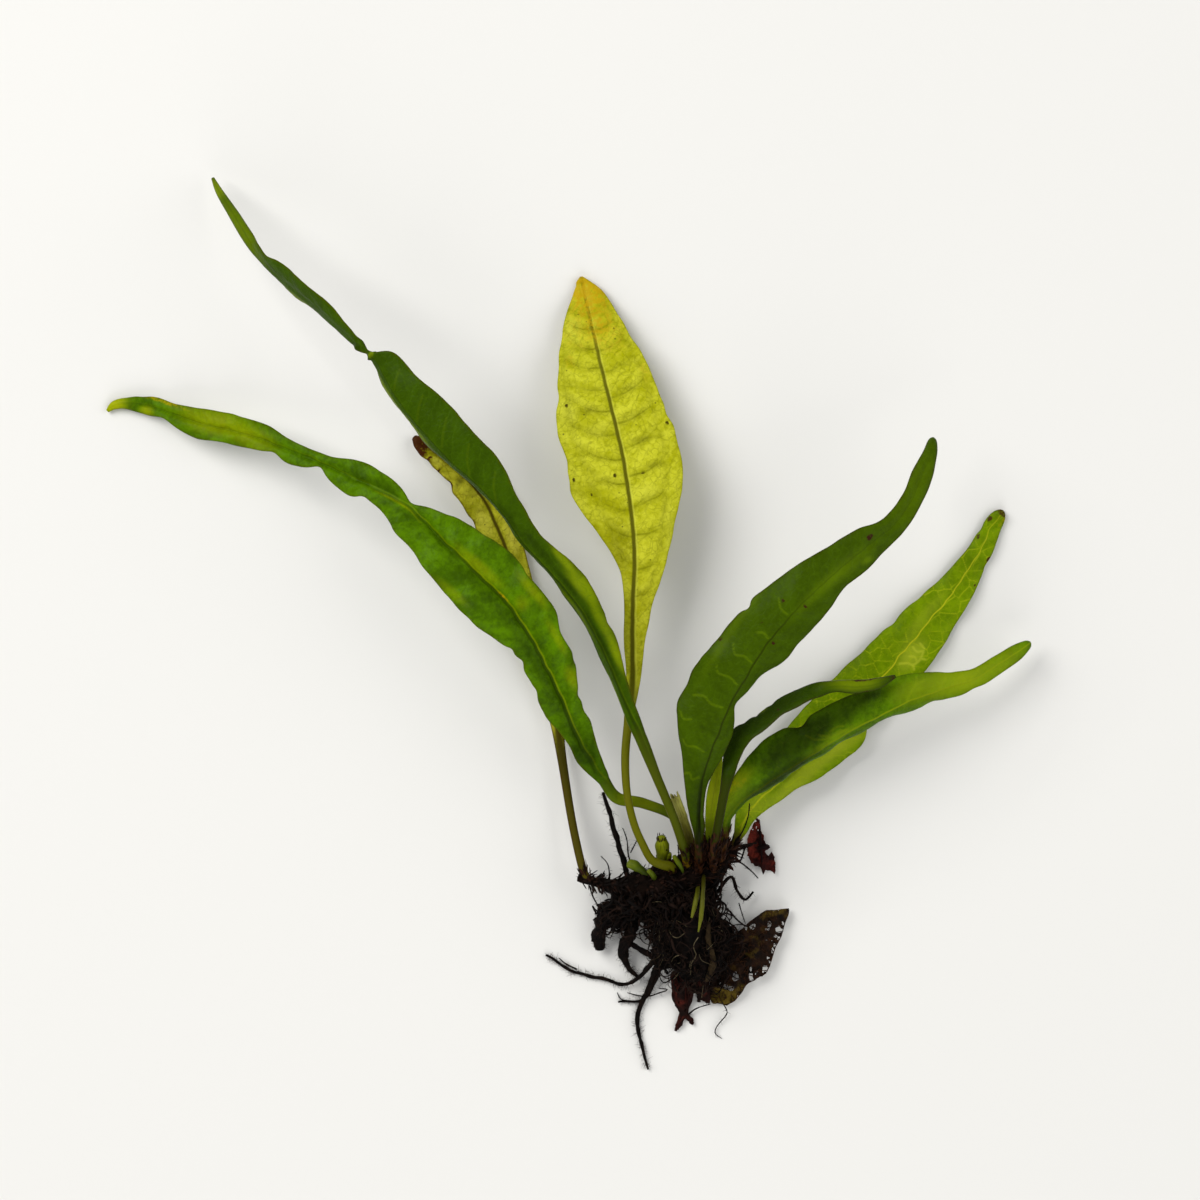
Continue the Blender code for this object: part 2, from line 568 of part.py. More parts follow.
def main():
    clear_scene()
    leaf_green = make_material("leaf green", (0.09, 0.22, 0.008), 0.42)
    lime_green = make_material("lime green", (0.22, 0.38, 0.01), 0.42)
    yellow_green = make_material("yellow green", (0.45, 0.5, 0.02), 0.45)
    old_yellow = make_material("old leaf yellow", (0.42, 0.33, 0.03), 0.55)
    pale_green = make_material("pale stalk green", (0.55, 0.58, 0.14), 0.5)
    scale_brown = make_material("rhizome brown", (0.05, 0.025, 0.012), 0.7)
    root_brown = make_material("root black brown", (0.018, 0.01, 0.006), 0.8)
    dead_red = make_material("dead leaf red brown", (0.1, 0.018, 0.012), 0.6)
    lace_brown = make_material("skeleton leaf brown", (0.14, 0.08, 0.02), 0.7)

    make_rhizome("rhizome", 0.0, scale_brown)
    cutter = make_rhizome("rhizome_cutter", PART_GAP, scale_brown)
    hide_cutter(cutter)
    floor_block = make_floor_block()

    fronds = [
        ("yellow_frond", YELLOW_FROND, yellow_green),
        ("left_frond", LEFT_FROND, leaf_green),
        ("bent_frond", BENT_FROND, leaf_green),
        ("old_frond", OLD_FROND, old_yellow),
        ("tall_right_frond", TALL_FROND, leaf_green),
        ("veined_frond", VEINED_FROND, lime_green),
        ("folded_frond", FOLDED_FROND, leaf_green),
        ("twisted_frond", TWISTED_FROND, leaf_green),
        ("young_frond", YOUNG_FROND, lime_green),
    ]
    for name, stations, material in fronds:
        cut(make_blade(name, stations, material), cutter)

    stubs = [
        ("bud", BUD, lime_green),
        ("cut_stalk", CUT_STALK, pale_green),
        ("pale_stub", PALE_STUB, pale_green),
        ("small_stub", SMALL_STUB, pale_green),
        ("pointed_stub", POINTED_STUB, pale_green),
    ]
    for name, route, material in stubs:
        cut(make_stalk(name, route, material), cutter)

    root_mass = make_root_mass("root_mass", 0.0, ROOT_ROUTES, root_brown)
    cut(root_mass, cutter, own_overlaps=True)
    cut(root_mass, floor_block)
    mass_cutter = make_root_mass("root_mass_cutter", PART_GAP, [], root_brown)
    hide_cutter(mass_cutter)
    for name, route in (("long_green_tip", LONG_GREEN_TIP), ("short_green_tip", SHORT_GREEN_TIP)):
        tip = make_stalk(name, route, lime_green)
        cut(tip, cutter)
        cut(tip, mass_cutter, own_overlaps=True)

    make_blade("dead_leaf", DEAD_LEAF, dead_red)
    for name, stations, material in (
        ("skeleton_leaf", SKELETON_LEAF, lace_brown),
        ("withered_scrap", WITHERED_SCRAP, dead_red),
    ):
        cut(make_blade(name, stations, material), mass_cutter, own_overlaps=True)


main()
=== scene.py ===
import math
import random
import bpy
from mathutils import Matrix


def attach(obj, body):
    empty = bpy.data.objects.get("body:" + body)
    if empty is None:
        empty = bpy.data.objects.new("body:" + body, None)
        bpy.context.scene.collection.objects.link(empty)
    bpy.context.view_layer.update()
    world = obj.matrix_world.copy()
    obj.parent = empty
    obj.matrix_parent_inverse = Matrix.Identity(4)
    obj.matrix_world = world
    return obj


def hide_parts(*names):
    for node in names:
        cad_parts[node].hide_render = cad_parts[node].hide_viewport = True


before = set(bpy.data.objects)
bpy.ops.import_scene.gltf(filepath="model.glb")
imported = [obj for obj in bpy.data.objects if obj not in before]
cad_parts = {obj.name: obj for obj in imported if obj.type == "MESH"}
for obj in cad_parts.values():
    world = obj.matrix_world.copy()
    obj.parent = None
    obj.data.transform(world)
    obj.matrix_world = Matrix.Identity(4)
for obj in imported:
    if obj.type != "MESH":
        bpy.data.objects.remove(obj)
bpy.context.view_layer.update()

from types import SimpleNamespace

import bmesh
import bpy
from mathutils import Matrix, Vector, geometry, kdtree, noise

MM = 0.001
NOISE_SEED = 12

# The picture: the photograph's middle lies over this point, and its frame is this wide on the surface.
CAMERA_HEIGHT = 900.0
CAMERA_X = 5.27
CAMERA_Y = 3.91
PICTURE_WIDTH = 204.0
SENSOR_WIDTH = 36.0

BLADE_HALF_THICKNESS = 0.17
RIM_HALF_THICKNESS = 0.08
RIM_BULGE = 0.06
ROUND_BELOW = 0.85
FLAT_ABOVE = 1.7
STALK_BELOW = 0.75
BLADE_ABOVE = 1.3
FULL_WAVE_HALF_WIDTH = 4.0
CREASE_WIDTH = 0.8
WIDEST_HALF = 11.0
VEIN_JOIN = 0.72
LINE_SPACING = 0.1
ROOT_STEP = 0.45
FAR_AWAY = 500.0
MARK_REACH = 9.0
WELD = 0.000001

# How much grows: strands, rootlets and fibres, and scales.
LONG_STRANDS = 170
SHORT_STRANDS = 190
LOOSE_ROOTLETS = 18
STALK_FIBRES = 26
STEM_SCALES = 460
CROWN_SCALES = 230
SCALES_PER_MILLIMETRE = 15

LEAF_GLOW = 0.25
GOLD_STAIN = (0.56, 0.36, 0.004, 1.0)
DARK_SPECK = (0.03, 0.035, 0.004, 1.0)
COLOUR = "NodeSocketColor"
NUMBER = "NodeSocketFloat"
COLOUR_LABELS = ("Deep", "Light", "Rib", "Vein", "Pale", "Brown", "Stalk")
LOOK_LABELS = ("Vein Strength", "Vein Width", "Net Strength", "Net Width", "Cell Strength", "Mottle",
               "Specks", "Rib Highlight", "Edge Strength", "Stroke Strength")
PLACE_LABELS = ("rib", "along", "vein", "net", "stroke", "edge", "rib_width", "rib_show", "stalk")
# The kinds of frond marks; pale and dark hold painted light and painted shade as well as the tissue's own
# tints.
MARK_KINDS = ("pale", "dark", "brown", "gold")


def stations(rows):
    """Fills a frond's short rows, whose halves are equally wide and not tilted."""
    return [row if len(row) == 7 else (*row, row[3], 0, 0) for row in rows]


# Each station along a frond's midrib: x, y, height, left half width, right half width,
# then the tilt of the left half and of the right half in degrees, where a raised edge is positive.
YELLOW_FROND = stations([
    (17.7, -41.5, 8.6, 0.8),
    (16.9, -40.8, 10.9, 0.84),
    (15.4, -40.4, 12.1, 0.77),
    (13.8, -39.5, 12.6, 0.7),
    (12.4, -37, 13, 0.66),
    (10.9, -33.4, 13.2, 0.65),
    (9.8, -28.4, 13.1, 0.65),
    (9.5, -22.5, 12.6, 0.7),
    (10, -16.5, 12, 0.75),
    (10.8, -9.5, 11.6, 1, 1.25, 5, 0),
    (10.8, -3, 11.6, 1.5, 2, 8, -4),
    (10.8, 4, 11.8, 1.5, 3.5, 10, -6),
    (11, 9, 12, 2.5, 5, 10, -6),
    (10.8, 15, 12, 5.5, 7, 8, -6),
    (10, 21.5, 11.4, 9, 9.25, 6, -6),
    (9, 28, 10.2, 9.5, 9.75, 4, -6),
    (7.3, 35.5, 8.4, 9.5, 8.75, 2, -5),
    (5.5, 43, 6, 7.5, 7.5, 0, -4),
    (3.8, 50.5, 3.2, 5, 5, 0, -3),
    (2.7, 55.5, 1.4, 2.25, 3.25, 0, 0),
    (2.1, 58.8, 0.5, 0.3),
])
LEFT_FROND = stations([
    (20.6, -40.5, 6.6, 0.75),
    (19.8, -36.5, 8, 0.75),
    (17.8, -32.6, 8, 0.8),
    (12.5, -30.3, 8.6, 0.9),
    (8.2, -29.4, 9.8, 1),
    (6, -26.5, 11, 1),
    (4, -22.5, 12.5, 2.5, 1.5, 15, 15),
    (1.5, -17.5, 13.6, 3, 2.5, 15, 15),
    (-0.8, -12.3, 15, 4.25, 3, 14, 16),
    (-5, -4, 17, 4, 5.5, 10, 14),
    (-9.5, 2.7, 18, 6, 5.75, 8, 10),
    (-14, 7, 18.2, 6, 6.5, 8, 8),
    (-18.3, 10.8, 18, 5.5, 5.75, 8, 8),
    (-22.3, 15, 17.2, 5.5, 4.25, 8, 10),
    (-26, 19.5, 16, 5, 1.25, 8, 14),
    (-30.8, 22.3, 14.6, 3, 2.5, 10, 12),
    (-35.8, 24.3, 12.8, 3, 3, 10, 10),
    (-41, 26.5, 11, 1.6, 1.75, 12, 12),
    (-46.5, 28.8, 9, 2, 1.75, 10, 10),
    (-51.8, 31, 7.2, 2, 2.5, 8, 8),
    (-57, 32.5, 5.6, 2.25, 2.75, 6, 8),
    (-62.5, 33.8, 4, 2.5, 2.5, 4, 6),
    (-67.3, 35.5, 2.6, 1.75, 1.75, 4, 4),
    (-71.3, 36.8, 1.5, 1.5, 1.75, 4, 2),
    (-75, 37.3, 1, 1),
    (-77.2, 37, 0.8, 0.75),
    (-78.4, 36, 0.7, 0.3),
])
BENT_FROND = stations([
    (20.1, -41.2, 7.9, 0.8),
    (19.6, -38.6, 12.2, 0.8),
    (18.3, -34.5, 14.2, 0.75),
    (16.7, -30.3, 14.8, 0.75),
    (14.8, -25.8, 15.4, 0.8),
    (12.8, -20.8, 16.2, 0.9, 1, -20, 10),
    (11.2, -17, 17, 1.2, 1.1, -45, 15),
    (8.8, -11.5, 18.4, 2, 1.6, -65, 20),
    (5.5, -3.8, 20.2, 2.5, 2.9, -70, 25),
    (1.7, 3, 21.6, 2.5, 3.9, -70, 28),
    (-2.7, 8.3, 22.8, 2.5, 4.25, -82, 28),
    (-7.2, 13.2, 24, 2.5, 3.25, -84, 25),
    (-10.8, 18.3, 24.8, 2.75, 3.75, -84, 20),
    (-15, 23, 25.2, 3.25, 5.5, -84, 16),
    (-20, 27.5, 25.6, 3.5, 6.25, -80, 14),
    (-25.8, 34, 25.4, 3, 6, -74, 14),
    (-29, 38.5, 25, 3, 4.75, -74, 16),
    (-31.4, 42.9, 24.2, 2.25, 3.4, -72, 25),
    (-32.8, 44.6, 23.8, 0.55, 0.55, -60, 50),
    (-34, 45.5, 23.2, 0.6, 0.7, -60, 55),
    (-37, 48.3, 22, 2.25, 2.5, -72, 58),
    (-42.5, 53.3, 19.6, 2.75, 4, -74, 60),
    (-47.5, 57.5, 17, 2.75, 3.25, -74, 60),
    (-50.5, 60.3, 15, 2.25, 2.25, -72, 60),
    (-53.5, 64.3, 12, 1.25, 1.25, -60, 55),
    (-56.5, 69, 8.6, 0.9, 0.9, -40, 40),
    (-59, 72.8, 5.2, 0.65, 0.65, -20, 20),
    (-60.3, 75.3, 3, 0.3),
])
OLD_FROND = stations([
    (3.2, -43.3, 5.8, 0.7),
    (2.2, -41, 5.4, 0.7),
    (0.5, -33.3, 4.4, 0.7),
    (-1.2, -22.8, 3.4, 0.8),
    (-2.3, -15.5, 2.8, 1.25, 1.25, 5, 5),
    (-4, -8.8, 2.4, 2, 2, 5, 5),
    (-5.8, -2.8, 2, 3, 3, 5, 5),
    (-8, 4.8, 1.6, 3.75, 2.4, 6, 4),
    (-10.2, 12.5, 1.5, 4, 2.6, 8, 2),
    (-12.2, 17.2, 1.6, 4, 3.5, 12, 0),
    (-14, 20.7, 1.9, 4.25, 3.5, 20, 0),
    (-16.7, 23.7, 2.3, 4, 2.75, 35, 5),
    (-20.7, 27, 2.4, 3, 2, 45, 15),
    (-24, 29.5, 1.8, 2.25, 1.75, 50, 25),
    (-26.3, 31.5, 0.9, 0.5, 0.5, 20, 10),
])
TALL_FROND = stations([
    (21.9, -41.6, 9, 0.75),
    (21.8, -38.8, 13, 0.75),
    (21.8, -36, 14.6, 0.75),
    (21.8, -31.5, 16.4, 1.75, 0.75, -5, -10),
    (22, -27.8, 18, 2.5, 1, -8, -20),
    (22.5, -24.8, 19.2, 3.75, 1.75, -10, -25),
    (23.8, -20.8, 21, 6, 2.5, -12, -28),
    (25.2, -17.5, 22.4, 8.25, 2.75, -12, -35),
    (27, -13.2, 24, 8.9, 1.75, -12, -45),
    (29.5, -9, 25.8, 8, 2.25, -10, -40),
    (32, -4.8, 27, 7.25, 4, -10, -30),
    (35.3, -0.3, 28, 6.6, 4.25, -8, -25),
    (39.5, 4.3, 28.6, 5.5, 4, -6, -20),
    (44.5, 8.8, 28, 4.25, 3.25, -4, -15),
    (49.3, 12.8, 26.6, 3.25, 2.75, 0, -10),
    (53.8, 16.3, 24.6, 2, 2, 5, -5),
    (56.8, 20.3, 22, 1.75, 1.75, 8, 0),
    (58.8, 24.5, 19, 1.75, 1.75, 8, 0),
    (60.3, 28, 16.2, 1.3, 1.1, 5, 0),
    (60.85, 30.3, 14.5, 0.82, 0.8, 2, 0),
    (61, 31, 14, 0.3),
])
VEINED_FROND = stations([
    (26.6, -39.2, 6.6, 0.7),
    (28.4, -36.4, 5.6, 0.75),
    (31, -31.3, 4, 2.5, 1.75, -4, -4),
    (35.8, -27, 2.8, 4, 2.75, -6, -6),
    (40.8, -22.3, 2.2, 5.8, 4.25, -6, -6),
    (45.8, -17.8, 1.9, 6.6, 4.8, -6, -6),
    (50, -13, 1.8, 6.2, 4.25, -6, -6),
    (54.3, -8.5, 1.8, 5.75, 4.5, -6, -6),
    (57.8, -3.8, 1.8, 5, 4.75, -6, -6),
    (61.5, 1, 1.7, 4, 4.25, -6, -6),
    (65.3, 5.5, 1.5, 3, 3.25, -5, -5),
    (69.3, 11.5, 1.2, 2, 2.25, -4, -4),
    (71.5, 15.8, 0.9, 1.6, 1.7, 0, 0),
    (72.8, 17.8, 0.7, 1.35, 1.3, 0, 0),
    (73.5, 18.7, 0.6, 0.85),
    (73.8, 19, 0.5, 0.3),
])
FOLDED_FROND = stations([
    (25.4, -40.4, 8.4, 0.75),
    (25.9, -37, 10.6, 0.75),
    (26.5, -33, 11.4, 1.5, 0.75, 10, -30),
    (29, -29.8, 12.2, 3.5, 1.25, 12, -60),
    (32.5, -27.3, 13, 5.25, 2.25, 12, -68),
    (37, -24.3, 14, 6.5, 2.5, 10, -70),
    (42.5, -20.8, 14.6, 6, 2.5, 8, -70),
    (47, -18, 14.8, 5.5, 2.75, 8, -68),
    (52.3, -15.3, 14.4, 5, 2.25, 6, -65),
    (57, -13, 13.4, 4.5, 2.75, 4, -55),
    (62.8, -11, 11.4, 3, 2.25, 2, -35),
    (68, -9.5, 9.4, 1.75, 1.75, 4, -15),
    (72.3, -7, 7.6, 1.5, 1.5, 0, -5),
    (75.5, -5, 6.2, 1.35),
    (77.4, -3.7, 5.3, 0.85),
    (78, -3.3, 5, 0.3),
])
TWISTED_FROND = stations([
    (24.4, -41.4, 9, 0.75),
    (24.3, -38.6, 13, 0.75),
    (25.2, -32.8, 15, 0.75),
    (26, -28.3, 16.2, 0.8, 0.8, -15, 15),
    (26.8, -24.5, 17, 1.25, 1, -30, 25),
    (27.8, -20.8, 17.8, 2.25, 1.75, -40, 35),
    (29.3, -18.3, 18.6, 2.25, 2, -45, 40),
    (31.8, -16.5, 19.2, 2, 2, -50, 45),
    (35.3, -14, 19.6, 2, 2, -50, 50),
    (39.3, -11.8, 19.8, 1.75, 1.75, -45, 45),
    (43.8, -10.5, 19.4, 1, 1, -10, 10),
    (48, -10.5, 18.8, 1.25, 1.25, 40, -40),
    (51.5, -10, 18, 1, 1, 45, -45),
    (54.5, -8.8, 17.2, 0.3, 0.3, 20, -20),
])
YOUNG_FROND = stations([
    (23.4, -40.2, 8, 0.5),
    (23.6, -36.8, 10.4, 0.55),
    (23.7, -33.2, 11.4, 0.8, 0.8, 10, -10),
    (24.2, -29.2, 12.6, 1.1, 1.1, 15, -15),
    (24.7, -26.3, 13.4, 1, 1, 20, -10),
    (25.2, -24, 13.8, 0.6, 0.6, 10, 0),
    (25.5, -22.3, 14, 0.25),
])
# The outlines of the withered leaves, seen from above.
DEAD_LEAF = [
    (31.8, -32.9), (31.4, -33.9), (31, -34.8), (30.5, -35.8), (30.3, -37), (30.3, -37.9), (30.35, -39.6),
    (30.7, -40.3), (31.2, -40.9), (31.55, -41.4), (31.95, -41.3), (32.55, -41.55), (32.8, -41.9),
    (33.1, -42.7), (33.3, -41.95), (34.2, -42.05), (34.65, -42.3), (34.95, -42.8), (35.05, -41.3),
    (34.85, -39.6), (34.4, -38.7), (34.1, -39.3), (33.9, -39.5), (33.4, -39.2), (33.25, -38.7), (33.6, -38.5),
    (34.15, -38.15), (34.05, -37.8), (33.4, -37.35), (33.15, -37.1), (33.2, -36.5), (32.8, -35.8),
    (32.5, -35), (32.4, -33.6),
]
SKELETON_LEAF = [
    (30, -51.4), (30.4, -50.9), (32.1, -49.7), (33.4, -48.8), (35.1, -48.75), (36.5, -48.6), (37.3, -48.5),
    (37.25, -49.4), (36.7, -50.6), (36.3, -51.8), (36.15, -52.7), (35.5, -54), (35, -54.9), (34.6, -56.2),
    (34.2, -57.5), (33.9, -58.4), (33.4, -59.3), (32.9, -59.7), (32.1, -60), (31.4, -60.6), (30.4, -61),
    (29.9, -61.5), (29.5, -62.3), (28.7, -63.35), (28.1, -64.1), (26.7, -64.9), (25.6, -64.5), (24.3, -64.6),
    (23.8, -62.7), (24.2, -60.1), (26.2, -58), (27.6, -54.9), (28.6, -52.6),
]
WITHERED_SCRAP = [
    (17.2, -59.6), (17.3, -60.8), (17.5, -62.3), (17.85, -63.3), (18.05, -65), (18.65, -65.9), (18.85, -66.9),
    (19.3, -66.65), (19, -67.9), (18.3, -68.4), (18, -69.2), (18.2, -69.4), (18.55, -69), (19.2, -68.25),
    (19.5, -67.35), (19.75, -67.3), (20.9, -68.25), (21.2, -68.1), (20.9, -67.45), (20.35, -66.8),
    (20, -66.2), (20.2, -65.2), (20.5, -64.5), (21, -63.3), (21.2, -61), (20.6, -59.4),
]
SMALL_SCRAP = [
    (21.4, -61.9), (21.5, -63), (22.2, -63.9), (23.05, -64.4), (23.6, -64.7), (23.9, -64.6), (24, -63),
    (23.9, -61.9), (23.4, -60.8), (22.7, -60.1), (22, -60.5),
]
# Holes in the withered leaves: middle and half size across and along.
DEAD_LEAF_HOLES = [
    (31.2, -35.1, 0.12, 0.2), (31.75, -34.8, 0.1, 0.22), (31.7, -33.6, 0.12, 0.25), (32.1, -35.2, 0.1, 0.16),
]
SKELETON_HOLES = [
    (31.1, -51.4, 0.55, 0.55), (30.1, -51.7, 0.25, 0.4), (34, -51.1, 0.35, 0.5), (33.6, -51.9, 0.4, 0.25),
    (35.6, -52, 0.65, 0.6), (36.3, -51, 0.2, 0.35), (35, -53.1, 0.28, 0.28), (35.6, -53.5, 0.3, 0.3),
    (34.5, -53.8, 0.2, 0.2), (33.5, -53.8, 0.2, 0.2), (34.9, -54.6, 0.2, 0.3), (34.6, -55.6, 0.24, 0.65),
    (33.7, -56.8, 0.3, 0.24), (34, -57.5, 0.2, 0.2), (33.3, -58.6, 0.55, 0.6), (30.9, -58.7, 0.22, 0.45),
    (30.9, -60, 0.42, 0.7), (31.7, -59.5, 0.18, 0.18), (32, -59, 0.18, 0.18), (28.2, -60, 0.6, 0.8),
    (26.6, -61.8, 0.4, 0.65), (27.5, -62, 0.45, 0.5), (25.7, -61.4, 0.18, 0.6), (32.9, -59.2, 0.2, 0.16),
]
SCRAP_HOLES = [(20.4, -62.9, 0.25, 0.7), (18.7, -64.4, 0.15, 0.35), (19.7, -65.7, 0.1, 0.3)]
# Lighter places on the withered leaves: middle, radius and strength. Those on the withered scraps are painted
# light, shining through the thin red tissue.
DEAD_LEAF_LIGHT = [
    (30.9, -36.4, 1.4, 0.9), (31.3, -39, 1.3, 0.7), (34.5, -40.4, 0.8, 0.5), (31.8, -34.4, 1, 0.6),
]
SKELETON_LIGHT = [
    (33.2, -49.8, 1.2, 0.6), (36, -49, 1.3, 0.55), (31.8, -53.5, 1, 0.55), (31.6, -56, 0.9, 0.5),
    (29.9, -56.3, 0.8, 0.45), (25.6, -63.7, 1.7, 1.1), (27.4, -63.4, 1.2, 1), (29.2, -61.6, 0.9, 0.7),
]
SCRAP_PAINTED_GLOW = [
    (18.9, -64.2, 0.7, 0.7), (20.4, -62.6, 0.6, 0.6), (18, -61.4, 0.5, 0.4), (22.9, -62.6, 0.9, 0.7),
]

# Each point of a stalk or root: x, y, height and radius.
RHIZOME_ROUTE = [
    (1.8, -43, 5.4, 0.75), (4.6, -43.7, 5.7, 0.8), (7.8, -44.4, 6.1, 1.3), (10.8, -44.5, 6.4, 2.3),
    (14.5, -43.8, 6.6, 2.7), (19, -42.4, 6.8, 2.9), (22.8, -40.3, 6.8, 3.1), (25.6, -39, 6.5, 2.4),
    (27.4, -38.2, 6.1, 1.2),
]
BUD = [
    (16.1, -41.4, 7.4, 0.8), (15.9, -39.4, 8.8, 1.1), (15.8, -38.4, 9.5, 1.15), (15.7, -37.2, 10.1, 1.1),
    (15.6, -36.2, 10.6, 0.75),
]
SIDE_BUD = [(16.6, -40.2, 8.4, 0.4), (16.8, -39.5, 9.2, 0.5), (16.9, -38.9, 9.6, 0.45)]
CUT_STALK = [
    (21.3, -39.8, 8.6, 0.75), (20.6, -37.2, 10.2, 0.78), (19.8, -34.6, 11.2, 0.78), (19, -32, 11.8, 0.78),
    (17.9, -29.2, 12.2, 0.85),
]
PALE_STUB = [
    (13.2, -42.4, 8.2, 0.6), (12.2, -41.5, 8.8, 0.68), (11.2, -40.8, 9, 0.86), (10.4, -40.5, 8.9, 0.8),
]
SMALL_STUB = [(14.5, -43, 8.8, 0.45), (14.1, -42.3, 10, 0.46), (13.5, -41.6, 10.4, 0.4)]
POINTED_STUB = [
    (19.3, -42.2, 9, 0.18), (19.1, -41.5, 10.2, 0.26), (18.6, -40.5, 10.8, 0.4), (17.75, -39.2, 11, 0.38),
]
LONG_GREEN_TIP = [
    (22.8, -42.2, 8.6, 0.34), (22.6, -44.4, 11.4, 0.34), (22.3, -48.4, 12.4, 0.38), (21.8, -51.6, 12, 0.14),
]
SHORT_GREEN_TIP = [
    (21.9, -43.8, 6.6, 0.36), (21.6, -45.4, 10.4, 0.4), (21.2, -47.4, 11.4, 0.42), (20.7, -49.3, 11.2, 0.2),
]
ROOT_LUMPS = [
    ((17.5, -46.8, 3.9), (6.2, 4.4, 4.5)),
    ((20.2, -51.5, 4.4), (6.2, 6.4, 5.3)),
    ((21.6, -56.8, 3.3), (5.0, 4.6, 4.1)),
    ((11.8, -46.4, 4.0), (3.8, 3.2, 3.8)),
    ((16.4, -54.8, 3.2), (2.6, 4.2, 3.2)),
    ((25.0, -53.6, 3.2), (3.4, 4.2, 3.0)),
    ((7.8, -49.2, 3.2), (2.7, 2.8, 3.0)),
]
ROOT_ROUTES = [
    [(8.6, -47.6, 4.4, 0.9), (6.4, -49, 4, 1), (5.4, -51.2, 3.2, 1.05), (5.2, -53.6, 2.2, 1.1),
     (5.2, -55.3, 1.5, 0.8)],
    [(11.5, -48.6, 4, 0.8), (10.2, -52.6, 3, 0.9), (9.2, -55.8, 2.3, 0.92), (9.8, -58, 1.6, 0.5),
     (11.7, -60, 1, 0.26)],
    [(11.5, -47, 2.6, 0.45), (10.2, -43.2, 2.4, 0.46), (8.7, -38.6, 3.2, 0.46), (7.3, -33.5, 3.8, 0.42),
     (5.7, -28.6, 3.4, 0.26)],
    [(14.8, -56.5, 2.8, 0.4), (10.8, -61, 1.2, 0.32), (5.8, -60.5, 0.6, 0.3), (1, -59.2, 0.5, 0.28),
     (-4.1, -56.4, 0.4, 0.2)],
    [(15.5, -56.5, 2.8, 0.5), (13.6, -61.8, 1.4, 0.44), (12.2, -65, 0.7, 0.42), (11.7, -68.4, 0.6, 0.36),
     (13.4, -75.9, 0.4, 0.18)],
    [(16, -57, 2.6, 0.35), (13.2, -63.4, 0.8, 0.25), (8.3, -64.4, 0.5, 0.18)],
    [(22, -50, 3, 0.4), (24.4, -45.6, 2.4, 0.36), (26.4, -42, 2.2, 0.32), (28.2, -38.8, 2.6, 0.28),
     (31, -37.5, 2.4, 0.2)],
    [(23, -50, 4, 0.36), (25.6, -44.8, 4.2, 0.3), (27.4, -42.8, 3.8, 0.28), (28.4, -45.4, 3.2, 0.25),
     (30, -46.8, 2.4, 0.22), (31.4, -45.6, 1.8, 0.18)],
    [(21.8, -58, 2.6, 0.6), (22.2, -61.5, 1.5, 0.5), (22, -64.4, 0.8, 0.3)],
]

# Thin single roots around the crown and below the tangle.
THIN_ROOTS = [
    [(30.5, -30.4, 6.6, 0.09), (30.2, -32.8, 6.6, 0.1), (28.9, -35.8, 6.4, 0.12), (27, -38.2, 6, 0.14)],
    [(27, -38.6, 4.6, 0.18), (29.6, -37.5, 3.4, 0.17), (31.9, -37.4, 2.2, 0.13)],
    [(27.2, -40.2, 5, 0.2), (28.8, -40.4, 4.2, 0.15), (30.4, -41.6, 3.4, 0.13), (32.2, -43.2, 2.6, 0.08)],
    [(27.5, -40.4, 4.8, 0.22), (28.9, -40.2, 4.2, 0.18), (29.4, -39.2, 3.8, 0.17), (29.8, -37.8, 3.4, 0.13)],
    [(26.8, -48.3, 4.4, 0.16), (28.6, -50.2, 3.6, 0.15), (30.2, -51.3, 3, 0.14), (32.2, -49.7, 2.6, 0.1)],
    [(28.8, -47.4, 3.2, 0.1), (29.4, -49.4, 3, 0.09), (29.9, -51, 2.8, 0.07)],
    [(9.1, -34.5, 8.4, 0.07), (9.7, -36.2, 8, 0.1), (10.1, -38.2, 7.6, 0.12), (10.4, -40.4, 7, 0.14)],
    [(5.4, -39.4, 4.4, 0.07), (6.5, -40.6, 4.8, 0.1), (6.8, -41.8, 5.2, 0.12), (6.7, -43.4, 5.4, 0.14)],
    [(3, -42.6, 5.4, 0.14), (3.6, -44.9, 4.2, 0.12), (4.4, -46.8, 4, 0.12), (5.4, -48.4, 3.8, 0.12)],
    [(-1.7, -56.9, 0.7, 0.08), (-0.4, -58, 0.6, 0.12), (1.4, -58.9, 0.6, 0.16)],
    [(8.2, -62.8, 0.4, 0.07), (8.8, -63.9, 0.4, 0.1), (9.8, -64.1, 0.5, 0.12)],
    [(9.9, -62.8, 0.5, 0.07), (12.6, -63.4, 0.8, 0.12), (15.4, -62.9, 0.9, 0.12), (16.8, -62.3, 0.8, 0.11),
     (15.2, -61.9, 0.9, 0.1)],
    [(20.2, -66.6, 1, 0.14), (21.2, -65.7, 1, 0.12), (22.3, -65.2, 0.9, 0.1), (24, -64.8, 0.7, 0.08)],
    [(26, -64.4, 1.2, 0.08), (26.8, -66.2, 0.9, 0.1), (25.2, -68.6, 0.5, 0.1), (25, -69.8, 0.4, 0.08),
     (26, -70.6, 0.3, 0.05)],
    [(12.6, -47.5, 3.6, 0.5), (11.4, -50.8, 3.2, 0.5), (10.6, -53.4, 2.8, 0.4)],
    [(10.6, -54.4, 2.6, 0.4), (13.2, -56, 2.4, 0.5), (15.4, -57.4, 2.4, 0.4)],
    [(15.2, -53.6, 3, 0.2), (15, -56.2, 2.2, 0.16), (15.3, -58.8, 1.6, 0.14)],
    [(11.6, -36.4, 7.4, 0.07), (11, -37.6, 7.3, 0.1), (10.4, -38.7, 7.1, 0.1)],
    [(21, -58.6, 3, 0.4), (21.3, -61.6, 1.9, 0.36), (20.4, -64.3, 1, 0.22)],
]
# A flat pale-brown root that runs down the right side of the tangle, as x, y and radius.
STRAP = [
    (23.6, -50.4, 0.3), (23.5, -52.4, 0.44), (23.7, -54.4, 0.46), (24.4, -56.8, 0.52), (23.9, -58.8, 0.5),
    (23.2, -60.4, 0.3),
]
